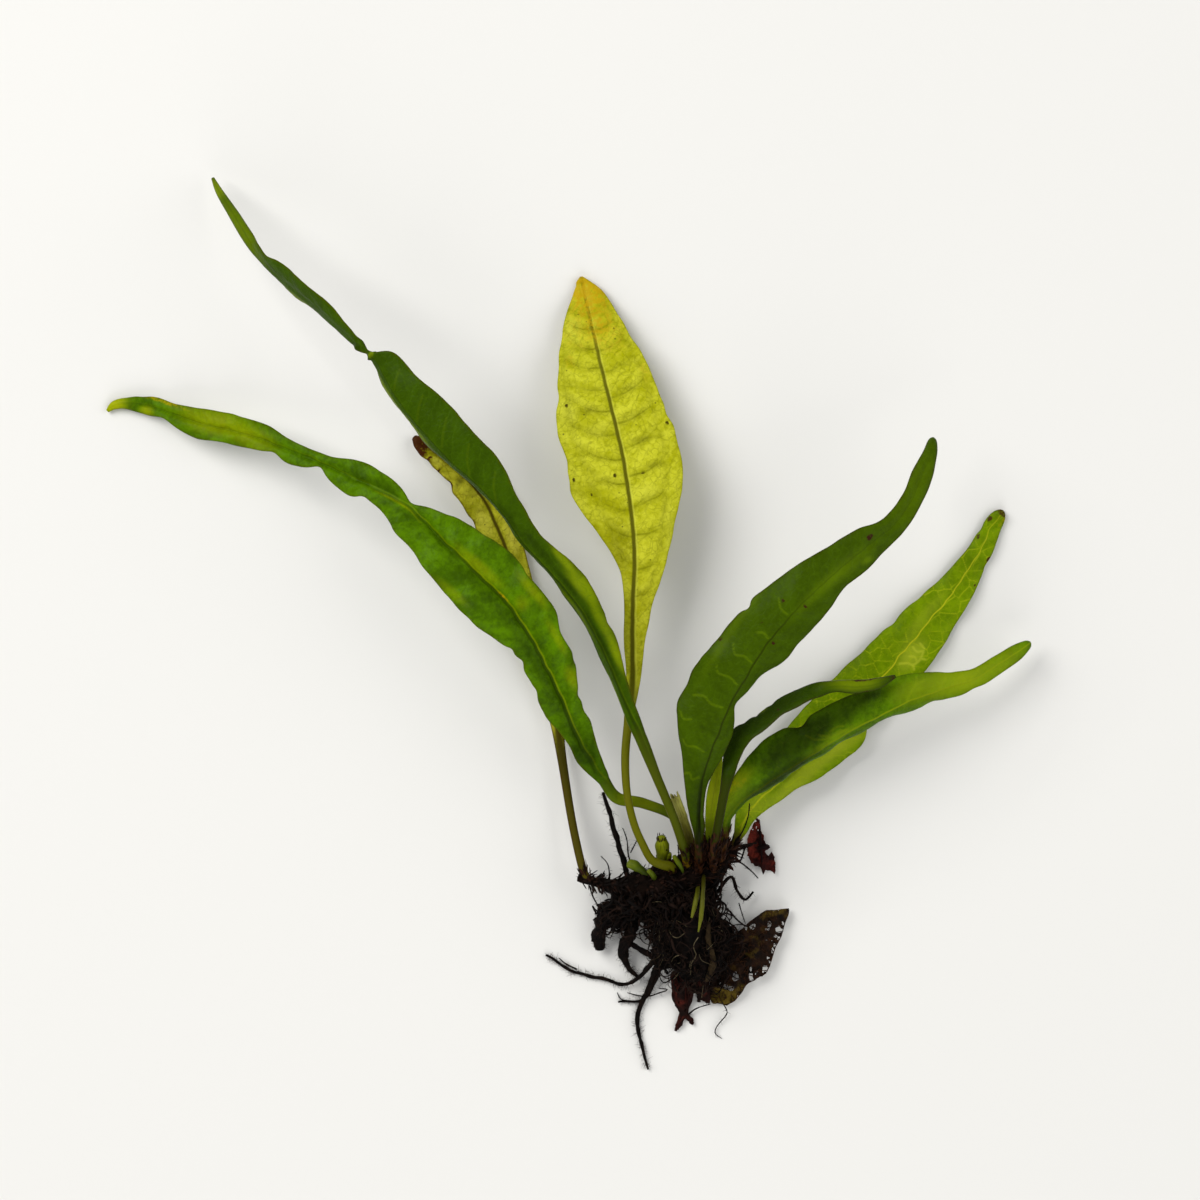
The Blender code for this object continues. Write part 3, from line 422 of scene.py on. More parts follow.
# Pale thin rootlets that lie on top of the tangle, as x, y and radius.
PALE_ROOTLETS = [
    [(21.8, -52.8, 0.1), (21.1, -54, 0.1), (21.1, -55, 0.12), (21.4, -55.9, 0.12), (20.7, -57.3, 0.12),
     (20.5, -59.4, 0.08)],
    [(13.9, -47.1, 0.08), (15, -46.9, 0.1), (15.9, -47.1, 0.07)],
    [(12.4, -49.7, 0.08), (13.3, -49, 0.08)],
    [(17.8, -49.9, 0.09), (18.8, -50.3, 0.1), (19.9, -51.1, 0.07)],
    [(16.9, -51.6, 0.08), (17.4, -52.6, 0.09), (18.4, -52.9, 0.11), (19.6, -52, 0.1)],
    [(24, -47.1, 0.09), (24.2, -48.2, 0.09), (24.7, -49.5, 0.1), (25.2, -48.3, 0.07)],
    [(25.2, -51.1, 0.1), (26, -52.2, 0.08)],
    [(19, -55.8, 0.08), (17.8, -56.3, 0.1), (17.3, -57.2, 0.08)],
    [(18.8, -57.3, 0.07), (17.8, -57.7, 0.1), (17.3, -58.9, 0.08)],
    [(15.3, -51.8, 0.07), (15.3, -53.7, 0.07)],
    [(16.8, -49, 0.08), (16.6, -50, 0.08)],
    [(19.2, -42.2, 0.06), (20, -41, 0.07), (20.7, -40.1, 0.06)],
    [(22.9, -39.8, 0.08), (23.2, -41, 0.1), (22.9, -42.2, 0.08)],
    [(20.6, -44, 0.08), (21.3, -43.1, 0.08)],
    [(24.3, -44.9, 0.08), (24.7, -46.8, 0.08)],
    [(13.8, -45.9, 0.08), (16, -45.2, 0.08)],
]
# The ribs of the dead leaf.
DEAD_LEAF_RIBS = [
    [(32.3, -33.4, 1.3, 0.1), (32.5, -35.4, 1.4, 0.14), (32.55, -38.2, 1.5, 0.2), (32.65, -40.4, 1.3, 0.16),
     (32.85, -41.7, 1.2, 0.14), (33.1, -42.7, 1.1, 0.08)],
    [(32.1, -38.2, 1.4, 0.3), (32.8, -38, 1.5, 0.5), (33.5, -37.9, 1.4, 0.42), (34, -38.1, 1.3, 0.16)],
]
# The rings of scales on the bud: how many, how far up it, how far out, and their length and width.
BUD_SCALES = [(14, 0.2, 1, 1.5, 0.5), (12, 0.62, 1.12, 0.9, 0.35), (16, 0.96, 0.82, 1, 0.2)]
# How far up each stalk its sheath of scales reaches.
SHEATHS = {
    "yellow_frond": 2.5, "left_frond": 3, "bent_frond": 6, "old_frond": 2, "tall_right_frond": 7,
    "veined_frond": 3, "folded_frond": 6.5, "twisted_frond": 8.5, "young_frond": 4.5,
}


def soft_noise(x, y, z):
    """Smooth noise at a place, between about -1 and 1."""
    return noise.noise(Vector((x, y, z)))


def every(first, last, spacing):
    """Slightly uneven places from first to last."""
    count = round((last - first) / spacing)
    places = [first + spacing * index for index in range(count + 1)]
    return [place + 0.3 * spacing * soft_noise(place * 0.7, spacing, 0.5) for place in places]


# What grows on each frond.
# step: distance between mesh rings. wave: height and length of the edge waves. ruffle: the same of smaller
# ones. ripple: height and size of the slanting ripples. pucker: how far the panels between side veins rise.
# camber: how far each half bulges. rib: the midrib's height above, height below, width at the base and at the
# tip. sway: how far it winds. rib_path: place along the frond, and place of the midrib across it, with the
# left side negative. rib_show: place along the frond, and how strongly the midrib shows there.
# veins: where side veins leave the midrib on the left and on the right. climb: how far they climb towards the
# tip on the left and on the right, as shares of the half width. net: length and width of the net's cells.
FRONDS = {
    "yellow_frond": {
        "stations": YELLOW_FROND, "slot": "yellow_leaf", "step": 0.28,
        "wave": (0.25, 9.0), "ruffle": (0.25, 4.0), "ripple": (0.12, 5.0), "pucker": 0.36, "camber": 0.25,
        "rib": (0.2, 0.42, 0.7, 0.36), "sway": 0.04,
        "rib_path": [(0, 0), (40, -0.15), (70, 0.05), (108, 0)],
        "rib_show": [(0, 1), (80, 1), (108, 0.75)],
        "veins": ([57, 61.5, 66, 70.4, 74.7, 79.2, 83.3, 87.3, 91.3, 94.8, 98.6, 101.5],
                  [51.5, 56, 61.7, 66.5, 71.7, 76.5, 81, 85.6, 90.3, 94.3, 98, 101.2]),
        "climb": (0.36, 0.22), "net": (2.4, 2.2),
    },
    "left_frond": {
        "stations": LEFT_FROND, "slot": "green_leaf", "step": 0.3,
        "wave": (0.7, 9.5), "ruffle": (0.5, 3.6), "ripple": (0.55, 4.6), "pucker": 0.1, "camber": 0.5,
        "rib": (-0.14, 0.34, 0.6, 0.24), "sway": 0.12,
        "rib_path": [(0, 0), (24, -0.4), (31, -0.9), (45, -0.55), (55, -0.35), (62, 0.05), (70, 0.35),
                     (75, 0.1), (80, -0.5), (86, -0.6), (92, -0.2), (100, 0.2), (112, 0), (139, 0)],
        "rib_show": [(0, 0.2), (22, 0.35), (38, 0.9), (62, 0.9), (76, 0.55), (92, 0.25), (139, 0.12)],
        "veins": (every(30, 128, 5.4), every(32, 128, 5.2)),
        "climb": (0.9, 0.9), "net": (3.6, 2.4),
    },
    "bent_frond": {
        "stations": BENT_FROND, "slot": "green_leaf", "step": 0.32,
        "wave": (0.3, 12.0), "ruffle": (0.14, 4.5), "ripple": (0.2, 6.0), "pucker": 0.08, "camber": 0.35,
        "rib": (0.04, 0.3, 0.42, 0.16), "sway": 0.06, "rib_path": [(0, 0), (153, 0)],
        "rib_show": [(0, 1), (60, 0.8), (74, 0.3), (153, 0.2)],
        "veins": (every(34, 148, 5.5), every(36, 148, 4.6)),
        "climb": (0.9, 0.8), "net": (4.2, 2.4),
    },
    "old_frond": {
        "stations": OLD_FROND, "slot": "old_leaf", "step": 0.26,
        "wave": (0.3, 8.0), "ruffle": (0.25, 2.6), "ripple": (0.3, 3.0), "pucker": 0.2, "camber": 0.3,
        "rib": (0.16, 0.36, 0.6, 0.4), "sway": 0.05,
        "rib_path": [(0, 0), (45, 0), (58, -0.5), (68, -0.4), (74, 0.2), (84, 0)],
        "rib_show": [(0, 1), (68, 1), (76, 0.4), (84, 0.2)],
        "veins": (every(28, 80, 3.4), every(29, 80, 3.4)),
        "climb": (0.5, 0.4), "net": (1.8, 1.5),
    },
    "tall_right_frond": {
        "stations": TALL_FROND, "slot": "green_leaf", "step": 0.3,
        "wave": (0.5, 11.0), "ruffle": (0.15, 5.0), "ripple": (0.2, 6.0), "pucker": 0.12, "camber": 0.4,
        "rib": (0.04, 0.3, 0.24, 0.12), "sway": 0.08,
        "rib_path": [(0, 0), (20, 0.1), (40, -0.2), (55, 0), (95, 0)],
        "rib_show": [(0, 1), (46, 0.9), (56, 0.3), (95, 0.1)],
        "veins": ([15.5, 19.4, 24, 28.2, 32.5, 37.2, 41.7, 46.8, 51.5, 56.5, 61.5, 67, 73, 79],
                  every(17, 84, 5.0)),
        "climb": (0.16, 0.4), "net": (2.8, 2.4),
    },
    "veined_frond": {
        "stations": VEINED_FROND, "slot": "lime_leaf", "step": 0.24,
        "wave": (0.3, 10.0), "ruffle": (0.15, 4.5), "ripple": (0.16, 4.0), "pucker": 0.0, "camber": 0.3,
        "rib": (0.05, 0.26, 0.2, 0.12), "sway": 0.16,
        "rib_path": [(0, 0), (42, -0.35), (54, 0.1), (66, 0), (76, 0)],
        "rib_show": [(0, 0.6), (40, 1), (62, 0.9), (76, 0.4)],
        "veins": (every(12, 70, 5.6), every(14, 70, 6.2)),
        "climb": (0.7, 0.9), "net": (3.2, 2.2),
    },
    "folded_frond": {
        "stations": FOLDED_FROND, "slot": "green_leaf", "step": 0.3,
        "wave": (0.35, 9.0), "ruffle": (0.15, 4.0), "ripple": (0.25, 5.0), "pucker": 0.08, "camber": 0.5,
        "rib": (0.1, 0.3, 0.3, 0.13), "sway": 0.08, "rib_path": [(0, 0), (20, -0.1), (70, 0)],
        "rib_show": [(0, 0.3), (30, 0.45), (42, 0.9), (70, 0.7)],
        "veins": (every(12, 62, 4.6), every(14, 62, 5.0)),
        "climb": (0.8, 0.8), "net": (3.4, 2.2),
    },
    "twisted_frond": {
        "stations": TWISTED_FROND, "slot": "green_leaf", "step": 0.28,
        "wave": (0.2, 8.0), "ruffle": (0.12, 3.0), "ripple": (0.1, 4.0), "pucker": 0.0, "camber": 0.3,
        "rib": (0.05, 0.28, 0.26, 0.14), "sway": 0.05, "rib_path": [(0, 0), (55, 0)],
        "rib_show": [(0, 0.4), (55, 0.25)],
        "veins": (every(20, 50, 4.5), every(21, 50, 4.5)),
        "climb": (0.9, 0.9), "net": (3.0, 1.6),
    },
    "young_frond": {
        "stations": YOUNG_FROND, "slot": "lime_leaf", "step": 0.2,
        "wave": (0.0, 8.0), "ruffle": (0.06, 2.5), "ripple": (0.04, 3.0), "pucker": 0.0, "camber": 0.2,
        "rib": (0.04, 0.2, 0.2, 0.1), "sway": 0.03, "rib_path": [(0, 0), (19, 0)],
        "rib_show": [(0, 0.4), (19, 0.8)],
        "veins": (every(8, 16, 2.5), every(9, 16, 2.5)),
        "climb": (0.9, 0.9), "net": (2.0, 1.0),
    },
}

# Where an edge draws in, or swells where the depth is negative, on the left side (-1) and on the
# right side (1): place along, depth and length.
NOTCHES = {
    "yellow_frond": {
        -1: [(77, 0.3, 2), (88, 0.3, 1.5)],
        1: [(64, 0.3, 4), (81, 0.2, 1.2)],
    },
    "left_frond": {
        -1: [
            (42.8, 0.3, 0.9), (48.2, 0.55, 1.1), (51.2, 0.35, 0.8), (61, -0.4, 4), (75, 0.9, 2.6),
            (89.4, 0.55, 1.3), (98.8, 1, 1.5), (107.3, 0.7, 1.5), (128.5, 0.45, 1.8),
        ],
        1: [
            (36, 0.5, 1.5), (39, 0.3, 0.8), (44.4, 0.4, 1), (49.4, 0.9, 2.2), (59, 0.3, 0.9),
            (81.4, 0.9, 1.8), (133, 0.3, 1.5),
        ],
    },
    "bent_frond": {
        -1: [(113, 0.6, 3), (103.5, 0.3, 0.8)],
        1: [(47, 0.35, 1.2), (105.6, 0.3, 0.8), (113.5, 0.5, 2.5), (121, 0.6, 3.5), (131.8, 0.6, 1.6)],
    },
    "old_frond": {
        -1: [(64.5, 0.4, 1.5), (73.4, 0.5, 0.8), (78.5, 0.3, 0.8)],
        1: [(76, 0.3, 1)],
    },
    "tall_right_frond": {
        -1: [(33, 0.55, 4), (48.4, 0.65, 0.9), (72.5, 0.3, 2.5)],
        1: [(33.6, 0.9, 2.2), (51.5, -0.5, 3), (62, 0.3, 2)],
    },
    "veined_frond": {
        -1: [(49.4, 0.35, 1.4), (55, 0.2, 1.2), (71.6, 0.25, 0.9)],
        1: [(33, 1, 1.5), (66.5, 0.3, 1.2), (17, 0.3, 2)],
    },
    "folded_frond": {
        -1: [(27.6, 1.2, 1.7), (12.6, 0.4, 1), (53.5, 0.3, 1.5)],
        1: [(50, 0.4, 1.2), (57.5, 0.3, 1.5)],
    },
    "twisted_frond": {
        -1: [(27.6, 0.5, 0.8), (30, 0.3, 0.5), (33.3, 0.35, 0.6)],
        1: [(34, 0.3, 1.5)],
    },
    "young_frond": {},
}

# Marks on each frond: place along, place across, length, width and strength. Brown and gold are stains; pale
# and dark are partly the tissue's own tints and partly painted light and painted shade: lit and backlit
# halves and panels, shade in folds and vein grooves, shadows of other fronds, and shade near the crown at
# each foot.
MARKS = {
    "yellow_frond": {
        "pale": [
            (85, -7.6, 3, 1.6, 0.35), (80.5, -3, 1.4, 2, 0.3), (68.5, 2.6, 1.6, 2.2, 0.3),
            (99.5, -3, 1.6, 1.4, 0.3), (63, 6.2, 4, 1.2, 0.25),
        ],
        # The narrow dark bands across the side veins, from 71 to 95 along, are painted shade in the vein
        # grooves; the dark at the foot is painted shade near the crown.
        "dark": [
            (0, 0, 9, 4, 0.3), (60, -2.6, 5, 2, 0.3), (46, -1.2, 8, 1.2, 0.35), (84.2, -4.2, 0.8, 2.2, 0.3),
            (95.2, -3.2, 0.6, 2.4, 0.2), (71.2, -4, 0.7, 2.4, 0.2), (77.4, 4, 0.6, 2.4, 0.3),
            (73, 5.2, 0.6, 1.8, 0.25), (82, 3, 0.7, 2.4, 0.2), (86.8, 3.4, 0.6, 2, 0.2),
        ],
        "brown": [
            (72, -1.8, 0.45, 0.35, 0.9), (72, 3, 0.35, 0.45, 1), (72.3, -8.7, 0.7, 0.25, 0.8),
            (86, -7.2, 0.5, 0.35, 0.7), (79.3, 8.6, 0.7, 0.3, 0.8), (69.3, -6.2, 0.35, 0.3, 0.7),
            (78.5, -4.8, 0.3, 0.5, 0.6), (63.7, -2.2, 0.3, 0.3, 0.6), (0, 0, 1.8, 3, 1),
        ],
        "gold": [
            (107.5, 0, 5, 5, 0.8), (103, 1.5, 5, 3, 0.35), (98.5, -2.5, 4.5, 4, 0.35),
            (96.5, 3, 5, 3.5, 0.35), (89, 7, 2.5, 1.2, 0.35), (93, -5, 2, 1, 0.35),
        ],
    },
    "left_frond": {
        "pale": [
            (16, 0, 4, 3, 0.3), (119, 0.8, 7, 2.2, 0.5), (111, -0.6, 4, 2, 0.3), (138, 0, 2.6, 3, 1),
            (131.8, -0.9, 1.3, 0.9, 0.6), (42, 2.8, 2, 1, 0.3), (56.8, 4.8, 3, 0.9, 0.4),
            (49, 3.8, 3, 0.7, 0.3), (65.5, 1.4, 5, 1, 0.35), (66, -5, 3, 0.8, 0.25),
            (56.5, 2, 1.2, 1.4, 0.25), (83, -0.8, 4.5, 0.25, 0.5),
        ],
        "dark": [
            (0, 0, 11, 4, 0.4), (28.5, 0, 6, 4, 0.7), (40, -1.8, 8, 1.4, 0.4), (52, -1.9, 9, 1.2, 0.45),
            (65, -1.3, 7, 0.9, 0.35), (47.5, 0.9, 4, 0.7, 0.3), (52.8, 1.8, 1, 1.4, 0.35),
            (54.6, 3.4, 1, 1.4, 0.35), (59.6, 3.2, 0.8, 1.8, 0.35), (62.8, -4.4, 1.3, 0.5, 0.4),
            (67, -2.6, 1.6, 0.5, 0.3), (71.5, -0.2, 4, 0.5, 0.4), (88, 0.5, 4, 0.8, 0.4),
            (93.5, 0.9, 4, 0.8, 0.35), (83, -1.9, 4, 0.5, 0.4), (125.6, -1, 1.4, 0.7, 0.3),
            (134.5, -0.4, 1.2, 1.2, 0.3),
        ],
        "gold": [(129, 1.5, 5, 0.45, 0.5), (59, 0.3, 1.8, 0.2, 0.7)],
    },
    "bent_frond": {
        # From 34 to 60 along, the pale strips on the left half and the pale patches on the right half are
        # painted light where the folded, twisted halves face the light.
        "pale": [
            (41.5, 2.1, 3.4, 0.8, 0.8), (47.5, 2.4, 3.2, 0.9, 0.6), (54, 3, 4, 1.2, 0.85),
            (59.5, 3.6, 2.6, 0.7, 0.8), (34, -1.6, 5, 0.5, 0.6), (42, -2.7, 6, 0.4, 0.7),
            (50, -2.7, 6, 0.4, 0.7), (58, -2.2, 5, 0.5, 0.6), (51, -0.9, 6, 0.5, 0.3), (92, -2, 4, 1, 0.7),
            (99, -1.9, 5, 0.9, 0.7), (123, -2.2, 4.5, 0.9, 0.6), (140, 0, 8, 1.6, 0.4),
            (150.5, 0, 2.6, 1, 0.7), (106, 0.1, 0.35, 0.5, 1),
        ],
        # The dark lines between the pale strips, from 40 to 72 along, are painted shade in the fold beside
        # the midrib; the dark at the foot is painted shade near the crown.
        "dark": [
            (0, 0, 9, 4, 0.5), (46, -2, 9, 0.3, 0.6), (44.5, 0.6, 7, 0.4, 0.6), (56, 1.2, 4, 0.5, 0.5),
            (63.5, 1.6, 4, 0.8, 0.45), (70, 0.4, 3.5, 0.7, 0.45), (129, 0.6, 2.5, 0.4, 0.35),
            (109, -0.4, 1.4, 0.6, 0.4), (104.4, 0.5, 1.2, 1.6, 0.2),
        ],
        "brown": [(0, 0, 4.8, 3, 1)],
        "gold": [(50, -3.1, 11, 0.16, 0.9), (104, -1.2, 2, 0.3, 0.3)],
    },
    "old_frond": {
        "pale": [(63.5, -2.2, 3, 1.2, 0.5), (59.5, 1.2, 3, 0.9, 0.5), (77.5, -1.6, 1, 0.8, 0.4)],
        # From 70 to 80 along, the dark marks are the darker folded-over part, partly painted shade where the
        # tip folds over.
        "dark": [
            (77, 0, 4.5, 5, 0.3), (70.5, 0, 3, 4, 0.3), (74, 0.5, 5, 0.8, 0.6), (70, 0, 3, 0.5, 0.45),
            (80, 0.7, 2.2, 0.7, 0.6), (72.4, -1.8, 0.5, 1.5, 0.5), (24, 0, 8, 2, 0.35),
        ],
        "brown": [
            (82.8, 0, 2.6, 3, 1.6), (80.4, -1.9, 1.2, 0.9, 1), (76.2, -2.4, 0.22, 1.1, 0.9),
            (78.6, -2.1, 0.25, 1.1, 0.9), (73.4, -3.4, 0.8, 0.5, 0.9), (65, -4.2, 3, 0.25, 0.5),
        ],
    },
    "tall_right_frond": {
        "pale": [
            (83, 0, 8, 2.5, 0.15), (58, 0.3, 6, 0.9, 0.14), (64, 0.5, 6, 1.4, 0.14),
            (67.5, 1.8, 1, 0.5, 0.25), (44, -6.4, 9, 0.8, 0.15),
        ],
        "dark": [
            (0, 0, 11, 4, 0.55), (13, 0, 9, 3, 0.4), (27.8, -2, 0.5, 1.4, 0.35), (12, -0.1, 8, 0.3, 0.7),
        ],
        "brown": [
            (0, 0, 6.5, 3, 1), (70.2, -0.9, 0.6, 0.45, 1.5), (46.4, 0.5, 0.3, 0.35, 1.1),
            (54.5, 0.6, 0.25, 0.4, 1), (42, -7, 0.35, 0.3, 1), (52.7, -2.6, 0.3, 0.3, 1),
            (45.2, -3.1, 0.6, 0.13, 0.8), (47.6, -2.9, 0.7, 0.13, 0.8), (50.4, -2.4, 0.6, 0.13, 0.8),
        ],
    },
    "veined_frond": {
        "pale": [
            (47, 1.2, 3, 1.6, 0.5), (20, 1.8, 9, 1.5, 0.45), (30, 2.5, 5, 1.5, 0.35), (10, 0, 3, 1.6, 0.3),
            (53, -1, 6, 1, 0.2),
        ],
        "dark": [
            (0, 0, 7, 4, 0.4), (76.5, 0, 3, 3, 0.4), (66, 0, 7, 3, 0.22), (22, 0.4, 7, 0.35, 0.45),
            (39, -5.6, 3, 0.8, 0.2),
        ],
        "brown": [
            (0, 0, 3.4, 3, 1), (70.2, -1.3, 0.5, 0.3, 1.1), (73.6, -1, 0.5, 0.4, 1.2),
            (67.6, 2, 0.5, 0.3, 1.2), (75.8, 0, 0.7, 1.3, 0.9), (62.8, 2.4, 0.3, 0.2, 0.8),
            (63.5, -2.9, 0.4, 0.2, 0.7),
        ],
        "gold": [(74.5, 1, 2, 0.4, 0.4)],
    },
    "folded_frond": {
        "pale": [
            (10.5, -2, 4.5, 2, 0.45), (14, -3.6, 3.2, 1.3, 0.7), (53, -1, 6, 3, 0.7), (61.5, 0, 7, 2.5, 0.6),
            (45.5, -1.6, 3, 2, 0.4), (31, -0.4, 6, 0.5, 0.3),
        ],
        # The broad dark marks from 17 to 44 along are painted shade, inside the fold and under the twisted
        # frond.
        "dark": [
            (24, -3.2, 6.5, 3.2, 1), (34, -3.6, 7, 2.4, 0.85), (19, 0.4, 9, 1.3, 0.95), (0, 0, 9, 4, 0.7),
            (41, -3.8, 3, 0.9, 0.5), (34, 1.4, 6, 1, 0.3), (27, -4.4, 1.5, 1.8, 0.5),
        ],
        "brown": [(0, 0, 7, 3, 1)],
        "gold": [(13, -3, 3.5, 1.4, 0.35)],
    },
    "twisted_frond": {
        "pale": [(31.5, -2.2, 0.9, 0.8, 1), (47.5, -0.6, 4.5, 1.4, 0.6)],
        "dark": [(15, 0, 7, 3, 0.35), (30, 0, 9, 2.5, 0.4), (0, 0, 10, 4, 0.8)],
        "brown": [
            (0, 0, 8.5, 3, 1), (33.7, 0.3, 0.35, 0.25, 0.9), (54, 0, 0.7, 0.8, 0.5), (49, 0.9, 2, 0.2, 0.5),
            (49.5, -1.1, 3, 0.3, 0.7),
        ],
    },
    "young_frond": {
        "pale": [(13, -0.2, 3, 0.7, 0.6)],
        "dark": [(5, 0, 3, 1, 0.4)],
        "brown": [(0, 0, 5, 3, 1)],
    },
}

# Fine light lines on the blades, as places along and across.
STROKES = {
    "tall_right_frond": [
        [(24, -1), (24.3, -2.6), (23.8, -4), (24.6, -5)], [(32.4, -1), (32.2, -3), (32.7, -4.6), (32, -6.4)],
        [(37.1, -0.8), (37.5, -2.4), (37, -4.4), (38.2, -5.4)],
        [(41.6, -0.6), (41.9, -2.2), (41.4, -3.6), (42.6, -4.8)], [(51.5, -0.6), (51.6, -2), (52.6, -3.4)],
        [(19.3, -0.6), (18.8, -1.6), (19.6, -2.2), (19.2, -3.2)], [(28.2, -5), (27.6, -6.2), (28.6, -7.4)],
        [(46.5, -0.6), (46.8, -1.6), (46.2, -2.6)],
    ],
    "veined_frond": [
        [(44.6, 0.4), (45.4, 1.4), (45.8, 2.4), (47, 2.8), (48.6, 2.5)], [(46.6, 1), (47, 1.8), (46.6, 2.6)],
        [(48.2, 0.6), (48, 1.6), (48.8, 2.4)], [(45.8, 2.4), (45.2, 3)], [(47.4, 2.8), (47.8, 3.6)],
        [(49.4, 1.2), (49.2, 2.2)],
    ],
    "folded_frond": [
        [(27.6, -3.4), (28.6, -2), (30.4, -1), (34, -0.5)], [(29.4, -2.4), (30.6, -1.4), (33, -1)],
        [(31, -1.6), (32.4, -1.9), (33.6, -1.4)], [(47.8, -3.4), (47.2, -2.2), (46, -1.2), (45, -0.3)],
        [(53, -2.2), (52.4, -1.2), (51, -0.3)], [(47.2, -2.2), (49, -2.4)],
    ],
    "bent_frond": [
        [(74, 0.6), (76, 2), (77.4, 3.8)], [(80, 0.4), (82, 2.2), (83.6, 4.4)],
        [(86.5, 0.6), (88, 2.4), (89.6, 4.6)], [(92.5, 0.5), (94, 2.2), (95.2, 4)],
        [(99, 0.5), (100.2, 1.6), (101.4, 3)],
    ],
}

# Leaf colours, as COLOUR_LABELS: deep and light tissue, midrib, side veins, pale tint, brown stain and stalk.
LEAF_COLOURS = {
    "yellow_frond": ("#aeaf08", "#d4d434", "#62600a", "#828406", "#e2e250", "#4a4206", "#64640a"),
    "left_frond": ("#3a5800", "#5e8800", "#344a00", "#486a00", "#a8b006", "#5a4a0c", "#4c5a0a"),
    "bent_frond": ("#2f4500", "#3e5a00", "#2a3c00", "#4e6e04", "#869806", "#6a5208", "#4c540a"),
    "old_frond": ("#9e9e08", "#d0cc34", "#544a04", "#6e6004", "#e2dc54", "#442208", "#4c440a"),
    "tall_right_frond": ("#354900", "#445d00", "#2c3800", "#5a7a08", "#84a00a", "#3a1e0e", "#3a4206"),
    "veined_frond": ("#628000", "#82a000", "#c4c420", "#acbc16", "#c4cc34", "#4a3a0c", "#66680a"),
    "folded_frond": ("#3e5c00", "#608800", "#8a9a0c", "#769010", "#92a40e", "#42260e", "#50520a"),
    "twisted_frond": ("#2a4200", "#384e00", "#364e00", "#4c6c06", "#8a9e06", "#402616", "#3c460a"),
    "young_frond": ("#728800", "#98a80c", "#8c9810", "#a4b018", "#b0b81c", "#42280c", "#76860a"),
}
# How strongly each part of a leaf's pattern shows, and how wide its lines are, as LOOK_LABELS.
LEAF_LOOKS = {
    "yellow_frond": (0.95, 0.32, 0.4, 0.2, 0.35, 1.0, 0.7, 0.35, 0.15, 0.4),
    "left_frond": (0.12, 0.3, 0.15, 0.2, 0.15, 0.8, 0.1, 0.35, 0.25, 0.4),
    "bent_frond": (0.12, 0.3, 0.3, 0.2, 0.15, 0.6, 0.1, 0.1, 0.22, 0.08),
    "old_frond": (0.45, 0.3, 0.4, 0.16, 0.35, 1.0, 0.6, 0.0, 0.6, 0.4),
    "tall_right_frond": (0.12, 0.2, 0.25, 0.14, 0.12, 0.6, 0.4, 0.0, 0.35, 0.2),
    "veined_frond": (0.1, 0.3, 0.7, 0.2, 0.15, 0.8, 0.15, 0.0, 0.25, 0.6),
    "folded_frond": (0.15, 0.3, 0.4, 0.16, 0.15, 0.8, 0.15, 0.0, 0.2, 0.3),
    "twisted_frond": (0.15, 0.3, 0.25, 0.16, 0.1, 0.6, 0.3, 0.0, 0.3, 0.4),
    "young_frond": (0.2, 0.3, 0.3, 0.16, 0.2, 0.6, 0.1, 0.3, 0.2, 0.4),
}


def linear_colour(text):
    """A colour written as six hex digits, in the renderer's own linear values."""
    channels = []
    for start in (1, 3, 5):
        value = int(text[start:start + 2], 16) / 255
        channels.append(value / 12.92 if value <= 0.04045 else ((value + 0.055) / 1.055) ** 2.4)
    return (*channels, 1.0)


# Patterns and materials.

def feed(node, inputs):
    """Sets a node's inputs: each to a value, a colour in six hex digits, or the socket that feeds it."""
    for name, value in inputs.items():
        if isinstance(value, bpy.types.NodeSocket):
            node.id_data.links.new(value, node.inputs[name])
        else:
            node.inputs[name].default_value = linear_colour(value) if isinstance(value, str) else value


def add_node(tree, kind, inputs=None, **settings):
    """Adds a node, with its settings and inputs."""
    node = tree.nodes.new(kind)
    for name, value in settings.items():
        setattr(node, name, value)
    feed(node, inputs or {})
    return node


def calculate(tree, operation, first, second=0.0):
    """The result of one sum on two numbers."""
    return add_node(tree, "ShaderNodeMath", {0: first, 1: second}, operation=operation).outputs[0]


def times(tree, first, second):
    """The product of two numbers."""
    return calculate(tree, "MULTIPLY", first, second)


def plus(tree, first, second):
    """The sum of two numbers."""
    return calculate(tree, "ADD", first, second)


def minus(tree, first, second):
    """The first number less the second."""
    return calculate(tree, "SUBTRACT", first, second)


def blend_colours(tree, share, first, second, way="MIX"):
    """A mix of two colours."""
    inputs = {"Factor": share, 6: first, 7: second}
    return add_node(tree, "ShaderNodeMix", inputs, data_type="RGBA", blend_type=way).outputs[2]


def fade(tree, value, low, high, start=1.0, end=0.0):
    """Goes smoothly from start to end as the value goes from low to high."""
    inputs = {"Value": value, "From Min": low, "From Max": high, "To Min": start, "To Max": end}
    return add_node(tree, "ShaderNodeMapRange", inputs, interpolation_type="SMOOTHSTEP").outputs[0]


def cloud(tree, vector, scale, detail=3.0, roughness=0.55):
    """Soft noise between 0 and 1."""
    inputs = {"Vector": vector, "Scale": scale, "Detail": detail, "Roughness": roughness}
    return add_node(tree, "ShaderNodeTexNoise", inputs).outputs["Fac"]


def attribute(tree, name):
    """A value that the mesh carries at each point."""
    return add_node(tree, "ShaderNodeAttribute", attribute_name=name).outputs["Fac"]


def object_place(tree):
    """The place on a piece, in metres."""
    return add_node(tree, "ShaderNodeTexCoord").outputs["Object"]


